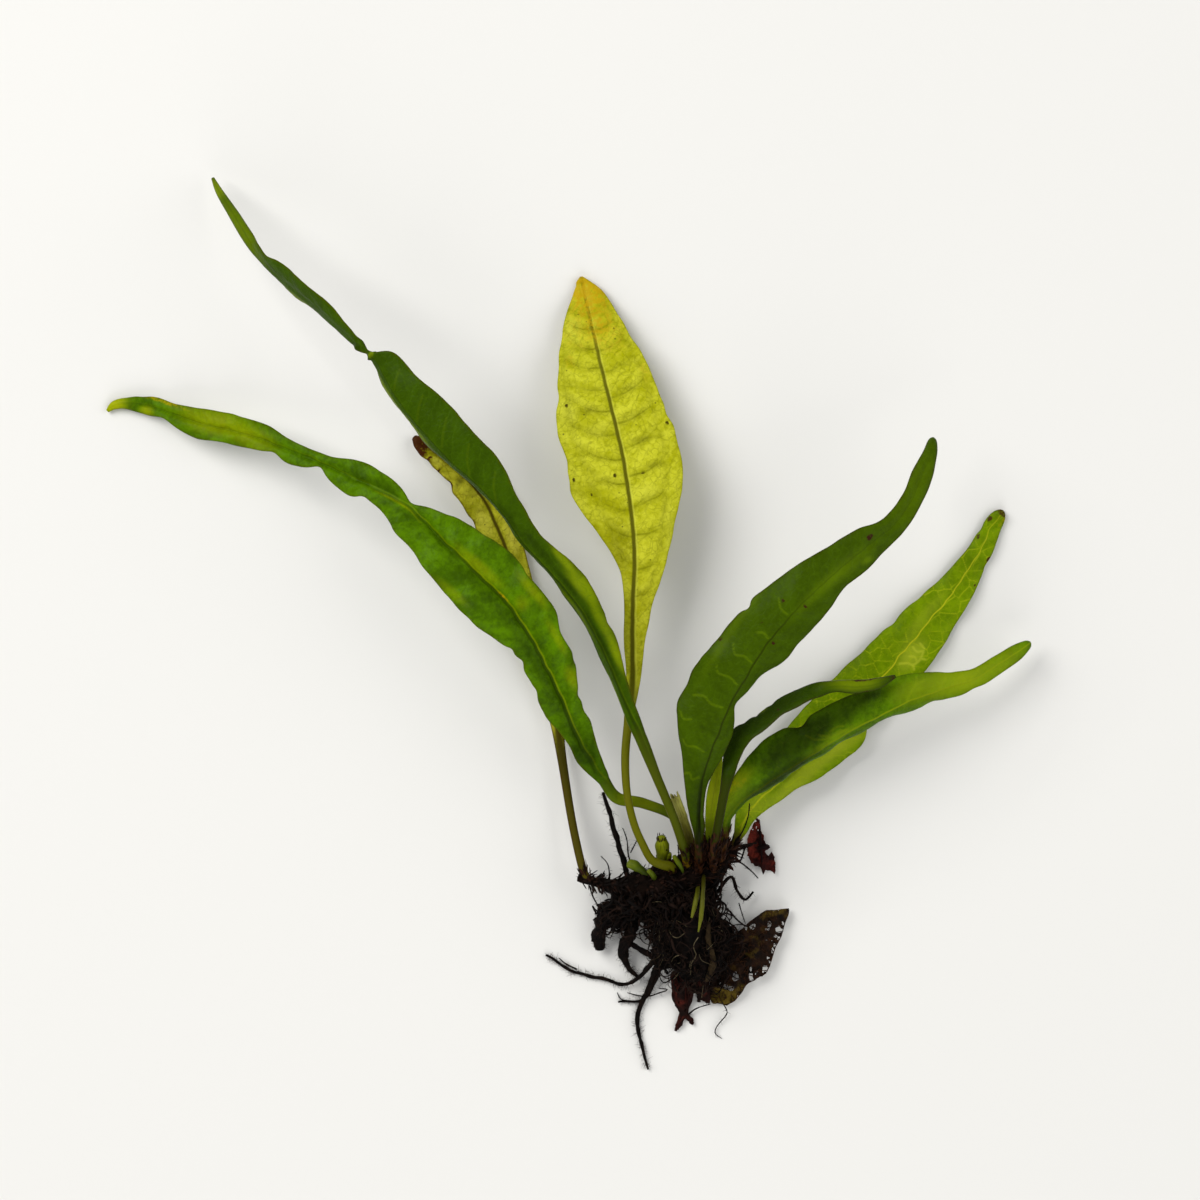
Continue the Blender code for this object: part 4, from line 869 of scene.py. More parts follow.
def new_group(name, colours, numbers, results):
    """An empty pattern: its tree, its inputs and its output node."""
    tree = bpy.data.node_groups.new(name, "ShaderNodeTree")
    sockets = [(label, "INPUT", COLOUR) for label in colours]
    sockets += [(label, "INPUT", NUMBER) for label in numbers]
    sockets += [(label, "OUTPUT", COLOUR if label == "Color" else NUMBER) for label in results]
    for label, way, kind in sockets:
        tree.interface.new_socket(name=label, in_out=way, socket_type=kind)
    return tree, tree.nodes.new("NodeGroupInput").outputs, tree.nodes.new("NodeGroupOutput")


def new_material(name):
    """A material with an empty surface: its tree and its Principled shader."""
    material = bpy.data.materials.new(name)
    material.use_nodes = True
    return material, material.node_tree, material.node_tree.nodes["Principled BSDF"]


def make_material(name, pattern, looks, relief, shine, roughness=None):
    """A surface with a pattern in its own colours. relief: its strength and its depth in metres."""
    material, tree, shader = new_material(name)
    given = add_node(tree, "ShaderNodeGroup", looks, node_tree=bpy.data.node_groups[pattern]).outputs
    inputs = {"Height": given["Height"], "Strength": relief[0], "Distance": relief[1]}
    feed(shader, {
        "Base Color": given["Color"],
        "Normal": add_node(tree, "ShaderNodeBump", inputs).outputs["Normal"],
        "Roughness": given["Roughness"] if roughness is None else roughness,
        "Specular IOR Level": shine,
    })
    return material


def leaf_tissue(tree, given, place, streaky, small):
    """Deep and light tissue in soft patches, with fine cells: its colour, and the borders of the cells."""
    broad = cloud(tree, streaky, 0.3, 3.0)
    tissue = plus(tree, times(tree, broad, 0.55), times(tree, small, 0.45))
    contrast = minus(tree, fade(tree, tissue, 0.36, 0.64, 0.0, 1.0), 0.5)
    share = plus(tree, times(tree, contrast, given["Mottle"]), 0.5)
    colour = blend_colours(tree, share, given["Deep"], given["Light"])
    # The pale marks: partly paler tissue, partly painted light on lit panels and backlit halves.
    colour = blend_colours(tree, attribute(tree, "pale"), colour, given["Pale"])

    drift = add_node(tree, "ShaderNodeTexNoise", {"Vector": place, "Scale": 0.7, "Detail": 2.0})
    inputs = {0: drift.outputs["Color"], "Scale": 1.1}
    bend = add_node(tree, "ShaderNodeVectorMath", inputs, operation="SCALE")
    bent = add_node(tree, "ShaderNodeVectorMath", {0: place, 1: bend.outputs[0]}, operation="ADD")
    inputs = {"Vector": bent.outputs[0], "Scale": 0.95}
    edges = add_node(tree, "ShaderNodeTexVoronoi", inputs, feature="DISTANCE_TO_EDGE")
    border = fade(tree, edges.outputs["Distance"], 0.02, 0.13)
    cells = add_node(tree, "ShaderNodeTexVoronoi", inputs)
    shade = add_node(tree, "ShaderNodeSeparateColor", {"Color": cells.outputs["Color"]}).outputs[0]
    mosaic = times(tree, fade(tree, shade, 0.35, 0.9, 0.0, 0.5), given["Cell Strength"])
    colour = blend_colours(tree, mosaic, colour, given["Light"])
    broken = fade(tree, cloud(tree, place, 0.8, 3.0), 0.42, 0.56, 0.1, 1.0)
    share = times(tree, times(tree, border, given["Cell Strength"]), broken)
    return blend_colours(tree, share, colour, given["Vein"]), border


def leaf_veins(tree, given, place, small, colour):
    """Adds the vein net, the side veins with painted shade in the grooves beside them, and the light strokes:
    the colour, and the lines of the net.
    """
    patchy = fade(tree, cloud(tree, place, 0.16, 2.0), 0.38, 0.58, 0.1, 1.0)
    reach = plus(tree, attribute(tree, "net"), times(tree, small, 0.16))
    net = fade(tree, calculate(tree, "DIVIDE", reach, given["Net Width"]), 0.5, 1.3)
    share = times(tree, times(tree, net, given["Net Strength"]), patchy)
    colour = blend_colours(tree, share, colour, given["Vein"])

    reach = calculate(tree, "DIVIDE", attribute(tree, "vein"), given["Vein Width"])
    line = fade(tree, reach, 0.2, 1.3)
    # Painted shade: the vein colour spreads softly up to four widths beside each side vein, as shade in its
    # groove.
    shade = fade(tree, reach, 0.5, 4.0, 0.38, 0.0)
    vein_line_and_painted_shade = calculate(tree, "MAXIMUM", line, shade)
    faint = fade(tree, cloud(tree, place, 0.35, 2.0), 0.36, 0.6, 0.45, 1.0)
    share = times(tree, times(tree, vein_line_and_painted_shade, given["Vein Strength"]), faint)
    colour = blend_colours(tree, share, colour, given["Vein"])
    stroke = times(tree, fade(tree, attribute(tree, "stroke"), 0.06, 0.34), given["Stroke Strength"])
    return blend_colours(tree, stroke, colour, given["Pale"]), net


def leaf_rib(tree, given, from_rib, beside, colour):
    """Adds the midrib with a painted highlight along its right flank, the stalk, and the dark marks, partly
    darker tissue and partly painted shade.
    """
    width = attribute(tree, "rib_width")
    show = attribute(tree, "rib_show")
    line = fade(tree, calculate(tree, "DIVIDE", beside, width), 0.3, 1.1)
    # A painted highlight in the pale colour along the right flank of the raised midrib.
    off_side = minus(tree, calculate(tree, "DIVIDE", from_rib, width), 0.95)
    light = fade(tree, calculate(tree, "ABSOLUTE", off_side), 0.1, 0.5)
    light = times(tree, times(tree, light, given["Rib Highlight"]), show)
    colour = blend_colours(tree, times(tree, line, show), colour, given["Rib"])
    colour = blend_colours(tree, light, colour, given["Pale"])
    stalk = blend_colours(tree, attribute(tree, "pale"), given["Stalk"], given["Pale"])
    colour = blend_colours(tree, attribute(tree, "stalk"), colour, stalk)
    # The dark marks darken the colour: partly darker tissue, partly painted shade in folds, in vein grooves,
    # under other fronds and near the crown.
    dark = minus(tree, 1.0, times(tree, attribute(tree, "dark"), 0.75))
    shade = add_node(tree, "ShaderNodeCombineColor", {"Red": dark, "Green": dark, "Blue": dark}).outputs[0]
    return blend_colours(tree, 1.0, colour, shade, "MULTIPLY")


def leaf_stains(tree, given, place, small, colour):
    """Adds the browned edge, brown and golden stains, and dark specks."""
    ragged = fade(tree, small, 0.35, 0.65, 0.55, 1.45)
    edge = fade(tree, times(tree, attribute(tree, "edge"), ragged), 0.05, 0.28)
    colour = blend_colours(tree, times(tree, edge, given["Edge Strength"]), colour, given["Brown"])
    stain = fade(tree, times(tree, attribute(tree, "brown"), ragged), 0.25, 0.75, 0.0, 1.0)
    colour = blend_colours(tree, stain, colour, given["Brown"])
    gold = fade(tree, times(tree, attribute(tree, "gold"), ragged), 0.15, 1.0, 0.0, 0.85)
    colour = blend_colours(tree, gold, colour, GOLD_STAIN)
    cells = add_node(tree, "ShaderNodeTexVoronoi", {"Vector": place, "Scale": 0.55})
    pick = add_node(tree, "ShaderNodeSeparateColor", {"Color": cells.outputs["Color"]}).outputs[1]
    spot = fade(tree, cells.outputs["Distance"], 0.05, 0.12)
    speck = times(tree, spot, fade(tree, pick, 0.55, 0.6, 0.0, 1.0))
    return blend_colours(tree, times(tree, speck, given["Specks"]), colour, DARK_SPECK)


def leaf_pattern():
    """The pattern of a frond, from its tissue to its stains."""
    results = ("Color", "Height", "Roughness")
    tree, given, result = new_group("leaf pattern", COLOUR_LABELS, LOOK_LABELS, results)
    from_rib = attribute(tree, "rib")
    along = attribute(tree, "along")
    beside = calculate(tree, "ABSOLUTE", from_rib)
    place = add_node(tree, "ShaderNodeCombineXYZ", {"X": from_rib, "Y": along}).outputs[0]
    slanted = minus(tree, along, times(tree, beside, 0.7))
    squeezed = times(tree, from_rib, 0.45)
    streaky = add_node(tree, "ShaderNodeCombineXYZ", {"X": squeezed, "Y": slanted}).outputs[0]
    small = cloud(tree, place, 1.1, 4.0, 0.65)
    colour, border = leaf_tissue(tree, given, place, streaky, small)
    colour, net = leaf_veins(tree, given, place, small, colour)
    colour = leaf_rib(tree, given, from_rib, beside, colour)
    colour = leaf_stains(tree, given, place, small, colour)
    height = minus(tree, small, times(tree, border, 0.6))
    height = minus(tree, height, times(tree, net, 0.4))
    feed(result, {"Color": colour, "Height": height, "Roughness": fade(tree, small, 0.3, 0.7, 0.34, 0.46)})


def stalk_pattern():
    """Fleshy tissue with fine streaks along a stalk, coloured from its base to its tip."""
    tree, given, result = new_group("stalk pattern", ("Base", "Middle", "Tip"), (), ("Color", "Height"))
    share = attribute(tree, "share")
    inputs = {"X": times(tree, attribute(tree, "turn"), 5.0), "Y": times(tree, share, 2.0)}
    streak = cloud(tree, add_node(tree, "ShaderNodeCombineXYZ", inputs).outputs[0], 3.0, 3.0)
    mottle = cloud(tree, object_place(tree), 1400.0, 3.0)
    uneven = plus(tree, share, times(tree, mottle, 0.3))
    colour = blend_colours(tree, fade(tree, share, 0.15, 0.65, 0.0, 1.0), given["Base"], given["Middle"])
    colour = blend_colours(tree, fade(tree, uneven, 0.7, 1.05, 0.0, 1.0), colour, given["Tip"])
    colour = blend_colours(tree, fade(tree, streak, 0.45, 0.7, 0.0, 0.45), colour, given["Base"])
    feed(result, {"Color": colour, "Height": streak})


def root_pattern():
    """Wiry root skin: each strand has its own tint, with rough patches."""
    tree, given, result = new_group("root pattern", ("Dark", "Light"), (), ("Color", "Height"))
    patch = cloud(tree, object_place(tree), 700.0, 5.0, 0.7)
    patches = fade(tree, patch, 0.4, 0.7, -0.1, 0.35)
    share = plus(tree, times(tree, attribute(tree, "tint"), 0.75), patches)
    feed(result, {"Color": blend_colours(tree, share, given["Dark"], given["Light"]), "Height": patch})


def withered_pattern():
    """Withered tissue: dark and middling patches, with a lighter tint at the given places; on the scraps that
    lighter tint is painted light shining through.
    """
    colours = ("Dark", "Middle", "Light")
    tree, given, result = new_group("withered pattern", colours, ("Scale",), ("Color", "Height"))
    place = object_place(tree)
    patch = cloud(tree, place, given["Scale"], 5.0, 0.68)
    fine = cloud(tree, place, times(tree, given["Scale"], 4.0), 3.0)
    colour = blend_colours(tree, fade(tree, patch, 0.36, 0.66, 0.0, 1.0), given["Dark"], given["Middle"])
    # The lighter tint at the given places; on the withered scraps it is painted light shining through the
    # thin tissue.
    reach = plus(tree, attribute(tree, "share"), fade(tree, patch, 0.3, 0.7, -0.45, 0.45))
    colour = blend_colours(tree, fade(tree, reach, 0.15, 0.85, 0.0, 1.0), colour, given["Light"])
    colour = blend_colours(tree, fade(tree, fine, 0.5, 0.7, 0.0, 0.5), colour, given["Dark"])
    feed(result, {"Color": colour, "Height": plus(tree, patch, fine)})


def mottled_pattern():
    """A mottled, slightly rough natural surface."""
    results = ("Color", "Height", "Roughness")
    tree, given, result = new_group("mottled pattern", ("Dark", "Light"), ("Scale", "Roughness"), results)
    place = object_place(tree)
    mottle = cloud(tree, place, given["Scale"], 5.0, 0.65)
    fine = cloud(tree, place, times(tree, given["Scale"], 5.0), 3.0)
    share = fade(tree, mottle, 0.35, 0.65, 0.0, 1.0)
    low = minus(tree, given["Roughness"], 0.1)
    high = plus(tree, given["Roughness"], 0.1)
    feed(result, {
        "Color": blend_colours(tree, share, given["Dark"], given["Light"]),
        "Height": plus(tree, mottle, fine),
        "Roughness": fade(tree, fine, 0.3, 0.7, low, high),
    })


def make_leaf_material(name):
    """A thin leaf: a soft sheen over its pattern, and some light that passes through."""
    looks = dict(zip(COLOUR_LABELS + LOOK_LABELS, LEAF_COLOURS[name] + LEAF_LOOKS[name]))
    material = make_material(name.replace("_", " "), "leaf pattern", looks, (0.4, 0.00012), 0.04)
    tree = material.node_tree
    shader = tree.nodes["Principled BSDF"]
    colour = shader.inputs["Base Color"].links[0].from_socket
    through = add_node(tree, "ShaderNodeBsdfTranslucent", {"Color": colour})
    both = add_node(tree, "ShaderNodeMixShader", {0: LEAF_GLOW, 1: shader.outputs[0], 2: through.outputs[0]})
    output = next(node for node in tree.nodes if node.type == "OUTPUT_MATERIAL")
    feed(output, {"Surface": both.outputs[0]})
    return material


def make_stalk_material(name, base, middle, tip):
    """Fleshy stalk tissue."""
    looks = {"Base": base, "Middle": middle, "Tip": tip}
    return make_material(name, "stalk pattern", looks, (0.4, 0.0001), 0.06, 0.42)


def make_root_material(name, dark, light, roughness):
    """Wiry root skin."""
    looks = {"Dark": dark, "Light": light}
    return make_material(name, "root pattern", looks, (0.7, 0.00015), 0.05, roughness)


def make_withered_material(name, dark, middle, light, scale=600.0):
    """Thin withered tissue."""
    looks = {"Dark": dark, "Middle": middle, "Light": light, "Scale": scale}
    return make_material(name, "withered pattern", looks, (0.8, 0.0002), 0.06, 0.62)


def make_mottled_material(name, dark, light, roughness, shine, scale, relief):
    """A mottled, slightly rough natural surface."""
    looks = {"Dark": dark, "Light": light, "Scale": scale, "Roughness": roughness}
    return make_material(name, "mottled pattern", looks, relief, shine)


# Meshes.

def between(rows, index, t):
    """Smooth curve through the rows: the value at fraction t between one row and the next."""
    before = rows[max(index - 1, 0)]
    start = rows[index]
    end = rows[index + 1]
    after = rows[min(index + 2, len(rows) - 1)]
    values = []
    for a, b, c, d in zip(before, start, end, after):
        slope_in = (c - a) / 2
        slope_out = (d - b) / 2
        bend = 2 * t ** 3 - 3 * t ** 2
        leaving = (t ** 3 - 2 * t ** 2 + t) * slope_in
        arriving = (t ** 3 - t ** 2) * slope_out
        values.append(b + leaving + arriving - bend * (c - b))
    return values


def spread(rows, spacing):
    """Rows at about equal steps along the curve, each with its distance from the start added."""
    fine = [rows[0]]
    steps = 24
    for index in range(len(rows) - 1):
        fine += [between(rows, index, (step + 1) / steps) for step in range(steps)]
    distance = [0.0]
    for a, b in zip(fine, fine[1:]):
        distance.append(distance[-1] + (Vector(b[:3]) - Vector(a[:3])).length)
    count = max(3, round(distance[-1] / spacing))
    picked = []
    at = 0
    for step in range(count + 1):
        goal = distance[-1] * step / count
        while at < len(distance) - 2 and distance[at + 1] < goal:
            at += 1
        part = (goal - distance[at]) / (distance[at + 1] - distance[at])
        part = min(max(part, 0.0), 1.0)
        row = [a + (b - a) * part for a, b in zip(fine[at], fine[at + 1])]
        picked.append(row + [goal])
    return picked


def directions(rows):
    """The direction of travel at each row."""
    result = []
    for index in range(len(rows)):
        a = Vector(rows[max(index - 1, 0)][:3])
        b = Vector(rows[min(index + 1, len(rows) - 1)][:3])
        result.append((b - a).normalized())
    return result


def smooth_step(value):
    """Goes gently from 0 to 1."""
    value = min(max(value, 0.0), 1.0)
    return value * value * (3 - 2 * value)


def loft(rings, ring_values=None, mesh=None):
    """A closed skin through the rings, wrapped from a grid, with named numbers for each point."""
    mesh = mesh or bmesh.new()
    columns = len(rings[0])
    ends = [[sum(ring, Vector()) / columns] * columns for ring in (rings[0], rings[-1])]
    rows = [ends[0]] + rings + [ends[1]]
    layers = {}
    for name in ring_values or {}:
        layers[name] = mesh.verts.layers.float.get(name) or mesh.verts.layers.float.new(name)
    made = bmesh.ops.create_grid(mesh, x_segments=columns, y_segments=len(rows) - 1, size=1.0)["verts"]
    for vert in made:
        column = round((vert.co.x + 1) / 2 * columns) % columns
        row = round((vert.co.y + 1) / 2 * (len(rows) - 1))
        vert.co = rows[row][column] * MM
        ring = min(max(row - 1, 0), len(rings) - 1)
        for name, layer in layers.items():
            vert[layer] = ring_values[name][ring][column]
    bmesh.ops.remove_doubles(mesh, verts=made, dist=WELD)
    return mesh


def place_object(name, data):
    """A new object in the scene."""
    made = bpy.data.objects.new(name, data)
    bpy.context.scene.collection.objects.link(made)
    return made


def finish_piece(name, mesh, material, slot, replaced):
    """Turns a bmesh into a named, smooth piece that rides on the plant's body and stands for a solid."""
    bmesh.ops.recalc_face_normals(mesh, faces=mesh.faces)
    data = bpy.data.meshes.new(name)
    mesh.to_mesh(data)
    mesh.free()
    data.shade_smooth()
    data.materials.append(material)
    piece = place_object(name, data)
    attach(piece, "root")
    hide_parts(replaced)
    return piece


# Fronds.

def half_width_at(rows, side, along):
    """The half width of a frond on one side, at a distance along it."""
    total = rows[-1][7]
    index = min(max(round(along / total * (len(rows) - 1)), 0), len(rows) - 1)
    return rows[index][3 if side < 0 else 4]


def side_vein_lines(rows, spec, seed):
    """Points on a frond's side veins: across, along and how faint. Each climbs to the next in a loop."""
    draw = random.Random(seed)
    points = []
    for side, starts, rise in zip((-1, 1), spec["veins"], spec["climb"]):
        tips = []
        for along in starts:
            half = half_width_at(rows, side, along)
            reach = half * VEIN_JOIN * draw.uniform(0.92, 1.06)
            climb = half * rise * draw.uniform(0.85, 1.15)
            phase = draw.uniform(0.0, 20.0)
            steps = max(4, round(reach / LINE_SPACING))
            for step in range(steps + 1):
                t = step / steps
                sway = 0.5 * soft_noise(t * 3.0, phase, 0.0)
                points.append((side * reach * t, along + climb * t ** 2.2 + sway * t, 0.1 * t))
            tips.append((reach, along + climb))
        for (reach, start), (next_reach, end) in zip(tips, tips[1:]):
            steps = max(4, round((end - start) / LINE_SPACING))
            for step in range(steps + 1):
                t = step / steps
                bulge = 0.1 * reach * math.sin(math.pi * t)
                place = side * (reach + (next_reach - reach) * t + bulge)
                points.append((place, start + (end - start) * t, 0.1 + 0.14 * math.sin(math.pi * t)))
    return points


def stroke_points(name):
    """Points on a frond's fine light lines, as across and along."""
    points = [(FAR_AWAY, FAR_AWAY)]
    for stroke in STROKES.get(name, []):
        for along, across, *_ in spread([(along, across, 0.0) for along, across in stroke], LINE_SPACING):
            points.append((across, along))
    return points


def along_path(path, along):
    """The value at a place along the frond, from a list of places and values."""
    value = path[-1][1]
    for (start, first), (end, last) in zip(path, path[1:]):
        if start <= along <= end:
            value = first + (last - first) * smooth_step((along - start) / (end - start))
    return value


def point_tree(points):
    """A quick way to find the points nearest to a place on the blade."""
    tree = kdtree.KDTree(len(points))
    for index, (across, along, *_) in enumerate(points):
        tree.insert((across, along, 0.0), index)
    tree.balance()
    return tree


def net_centres(rows, cell, seed):
    """The middles of the cells of the vein net, in staggered rows that keep clear of the midrib."""
    long_side, short_side = cell
    draw = random.Random(seed)
    total = rows[-1][7]
    centres = []
    for side in (-1, 1):
        row = 0
        along = 0.0
        while along < total + long_side:
            across = short_side * (0.45 if row % 2 else 0.95)
            while across < WIDEST_HALF:
                shift_across = draw.uniform(-0.22, 0.22) * short_side
                shift_along = draw.uniform(-0.25, 0.25) * long_side
                lean = across * 0.45
                centres.append((side * (across + shift_across), along + lean + shift_along))
                across += short_side
            row += 1
            along += long_side * 0.62
    return centres


def net_distance(tree, across, along):
    """How far a place is from the border between the two net cells nearest to it."""
    (near, _, near_distance), (far, _, far_distance) = tree.find_n((across, along, 0.0), 2)
    return (far_distance ** 2 - near_distance ** 2) / (2 * (far - near).length)


def mark_strength(name, kind, along, across):
    """How strongly one kind of mark shows at a place on a frond; the pale and dark kinds hold painted light
    and shade as well as tints.
    """
    found = 0.0
    for at_along, at_across, length, width, strength in MARKS[name].get(kind, ()):
        distance = ((along - at_along) / length) ** 2 + ((across - at_across) / width) ** 2
        if distance < MARK_REACH:
            found = min(1.0, found + strength * math.exp(-distance ** 1.6))
    return found


def edge_change(name, side, along):
    """How much the notches and swellings add to the half width."""
    change = 0.0
    for at, depth, length in NOTCHES[name].get(side, ()):
        change -= depth * math.exp(-((along - at) / length) ** 2)
    return change


def blade_columns(rows, step):
    """The places around a frond where its mesh has a line: top from left to right, rim, then back below."""
    widest = max(row[3] + row[4] for row in rows)
    half_count = min(max(round(widest / step / 2), 7), 34)
    fractions = []
    for index in range(-half_count, half_count + 1):
        share = index / half_count
        fractions.append(math.copysign(abs(share) ** 1.12, share))
    top = [(1, fraction) for fraction in fractions]
    below = [(-1, fraction) for fraction in reversed(fractions)]
    return top + [(0, 1.0)] + below + [(0, -1.0)]


def blade_half(name, spec, ring, side, half, tilt, seed):
    """One side of a frond at a ring: half width, way out, normal, and the heights of its wave and ruffle."""
    angle = math.radians(tilt)
    uneven = 0.03 * soft_noise(ring.along * 0.35, side * 7.0, seed)
    half = max(half * (1 + uneven) + edge_change(name, side, ring.along) * ring.flatness, 0.2)
    outward = ring.leftward * -side * math.cos(angle) + ring.upward * math.sin(angle)
    normal = ring.upward * math.cos(angle) + ring.leftward * side * math.sin(angle)
    wave_height, wave_length = spec["wave"]
    wave = wave_height * min(half / FULL_WAVE_HALF_WIDTH, 1.0)
    wave *= math.sin(2 * math.pi * ring.along / wave_length + side)
    ruffle_height, ruffle_length = spec["ruffle"]
    ruffle = ruffle_height * min(half / FULL_WAVE_HALF_WIDTH, 1.0)
    ruffle *= soft_noise(ring.along / ruffle_length, side * 11.0, seed) * 1.6
    return half, outward, normal, wave, ruffle


def blade_ring(name, spec, row, travel, total, seed):
    """What one ring of a frond hangs on: its directions, its midrib, its stalk and its two sides."""
    x, y, z, left, right, left_tilt, right_tilt, along = row
    ring = SimpleNamespace(centre=Vector((x, y, z)), along=along, widest=max(left, right))
    ring.leftward = Vector((0, 0, 1)).cross(travel).normalized()
    ring.upward = travel.cross(ring.leftward).normalized()
    ring.flatness = smooth_step((ring.widest - ROUND_BELOW) / (FLAT_ABOVE - ROUND_BELOW))
    ring.stalk = 1 - smooth_step((ring.widest - STALK_BELOW) / (BLADE_ABOVE - STALK_BELOW))
    ring.stalk *= smooth_step((0.55 * total - along) / (0.2 * total))
    rib_base, rib_tip = spec["rib"][2:]
    ring.rib_width = rib_base + (rib_tip - rib_base) * along / total
    sway = 2 * spec["sway"] * soft_noise(along * 0.45, 2, 0)
    ring.rib_at = (along_path(spec["rib_path"], along) + sway) * ring.flatness
    ring.rib_show = along_path(spec["rib_show"], along)
    sides = ((-1, left, left_tilt), (1, right, right_tilt))
    ring.halves = {side: blade_half(name, spec, ring, side, half, tilt, seed) for side, half, tilt in sides}
    ring.normal = (ring.halves[-1][2] + ring.halves[1][2]).normalized()
    return ring


def blade_lift(spec, half, reach, across, along, from_rib, vein, net, seed):
    """How far the camber, the puckered panels, the ripples and the net raise a blade."""
    breadth = min(half / 3.0, 1.0)
    beside = min(abs(from_rib) / 0.9, 1.0)
    panel = 1 - math.exp(-(vein / 0.85) ** 2)
    lift = spec["camber"] * 4 * reach * (1 - reach) * min(half / 6.0, 1.0)
    lift += spec["pucker"] * panel * (1 - reach ** 4) * beside * breadth
    height, size = spec["ripple"]
    slant = along - 0.7 * abs(across)
    ripple = soft_noise(across / size * 0.6, slant / size * 1.4, seed + 5.0)
    crease = 0.5 - abs(soft_noise(across * 0.14, slant * 0.42, seed + 9.0))
    crumple = soft_noise(across / 1.4, along / 1.8, seed + 7.0)
    lift += height * (ripple + 0.5 * crease + 0.2 * crumple) * breadth * beside
    lift += 0.03 * math.exp(-(net / 0.22) ** 2) * breadth
    return lift


def blade_point(name, spec, ring, lines, face, fraction, seed):
    """A point of a frond's skin, and the numbers that its colours read there."""
    side = -1 if fraction < 0 else 1
    half, outward, normal, wave, ruffle = ring.halves[side]
    reach = abs(fraction)
    across = half * reach
    from_rib = side * across - ring.rib_at
    normal = ring.normal.lerp(normal, smooth_step(across / CREASE_WIDTH))
    _, vein_point, vein = lines.veins.find((from_rib, ring.along, 0.0))
    vein += lines.vein_points[vein_point][2]
    net = net_distance(lines.cells, from_rib, ring.along)
    stroke = lines.strokes.find((side * across, ring.along, 0.0))[2]
    lift = wave * reach ** 2 + ruffle * reach ** 3
    lift += blade_lift(spec, half, reach, side * across, ring.along, from_rib, vein, net, seed)
    if face == 0:
        thickness = 0.0
        across += RIM_BULGE
    else:
        thickness = BLADE_HALF_THICKNESS
        thickness += (RIM_HALF_THICKNESS - BLADE_HALF_THICKNESS) * reach ** 6
        rib_height = spec["rib"][0 if face == 1 else 1]
        thickness += rib_height * math.exp(-(from_rib / ring.rib_width) ** 2) * ring.flatness
        if face == -1:
            thickness += 0.07 * math.exp(-(vein / 0.3) ** 2) * (1 - reach ** 4)
    flat = ring.centre + outward * across + normal * (face * thickness + lift)
    turn = math.radians(face * (90 - fraction * 72)) if face else (0.0 if fraction > 0 else math.pi)
    round_way = ring.leftward * -math.cos(turn) + ring.upward * math.sin(turn)
    place = (ring.centre + round_way * ring.widest).lerp(flat, ring.flatness)
    numbers = [from_rib, ring.along, vein, net, stroke, half * (1 - reach), ring.rib_width, ring.rib_show,
               ring.stalk]
    numbers += [mark_strength(name, kind, ring.along, side * across) for kind in MARK_KINDS]
    return place, numbers


def frond_rings(name, spec):
    """The rings of a frond's skin, and the values that its colours read at each point."""
    seed = 3 * len(name) + ord(name[0])
    rows = spread(spec["stations"], spec["step"])
    total = rows[-1][7]
    columns = blade_columns(rows, spec["step"] * 1.05)
    lines = SimpleNamespace(vein_points=side_vein_lines(rows, spec, seed))
    lines.veins = point_tree(lines.vein_points)
    lines.cells = point_tree(net_centres(rows, spec["net"], seed + 1))
    lines.strokes = point_tree(stroke_points(name))
    rings = []
    values = {label: [] for label in PLACE_LABELS + MARK_KINDS}
    for row, travel in zip(rows, directions(rows)):
        ring = blade_ring(name, spec, row, travel, total, seed)
        points = [blade_point(name, spec, ring, lines, face, fraction, seed) for face, fraction in columns]
        rings.append([place for place, _ in points])
        for index, label in enumerate(values):
            values[label].append([numbers[index] for _, numbers in points])
    return rings, values


def make_fronds():
    """All nine fronds."""
    for name, spec in FRONDS.items():
        rings, values = frond_rings(name, spec)
        material = make_leaf_material(name)
        finish_piece(name + "_blade", loft(rings, values), material, spec["slot"], name)


# Stalks, buds and stubs.

def stalk_rings(route, step, sides, wobble, seed, ridges=0.0):
    """Rings around a stalk, with the share of its length and the turn around it at each point."""
    rows = spread(route, step)
    rings = []
    values = {"share": [], "turn": []}
    for row, travel in zip(rows, directions(rows)):
        x, y, z, radius, distance = row
        aside = Vector((0, 0, 1)).cross(travel)
        if aside.length < 0.01:
            aside = Vector((0, 1, 0)).cross(travel)
        aside.normalize()
        upward = travel.cross(aside)
        ring = []
        for side in range(sides):
            turn = 2 * math.pi * side / sides
            outward = aside * math.cos(turn) + upward * math.sin(turn)
            rough = noise.noise(Vector((x, y, z)) * 0.9 + outward * 0.8 + Vector((seed, 0, 0)))
            reach = radius * (1 + wobble * rough + ridges * math.cos(turn * 5 + seed))
            ring.append(Vector((x, y, z)) + outward * reach)
        rings.append(ring)
        values["share"].append([distance / rows[-1][-1]] * sides)
        values["turn"].append([math.sin(2 * math.pi * side / sides) for side in range(sides)])
    return rings, values


def rounded_end(route, start=False, length=0.5):
    """The route with its far end drawn in to a dome, and its start too if wanted."""
    rows = [list(row) for row in route]
    x, y, z, radius = rows[-1]
    travel = (Vector(rows[-1][:3]) - Vector(rows[-2][:3])).normalized()
    for share in (0.55, 0.85, 1.0):
        place = Vector((x, y, z)) + travel * radius * length * share
        rows.append([*place, radius * math.sqrt(1 - share ** 2) + 0.03])
    if start:
        rows = [list(row) for row in reversed(rounded_end(list(reversed(rows)), length=length))]
    return rows


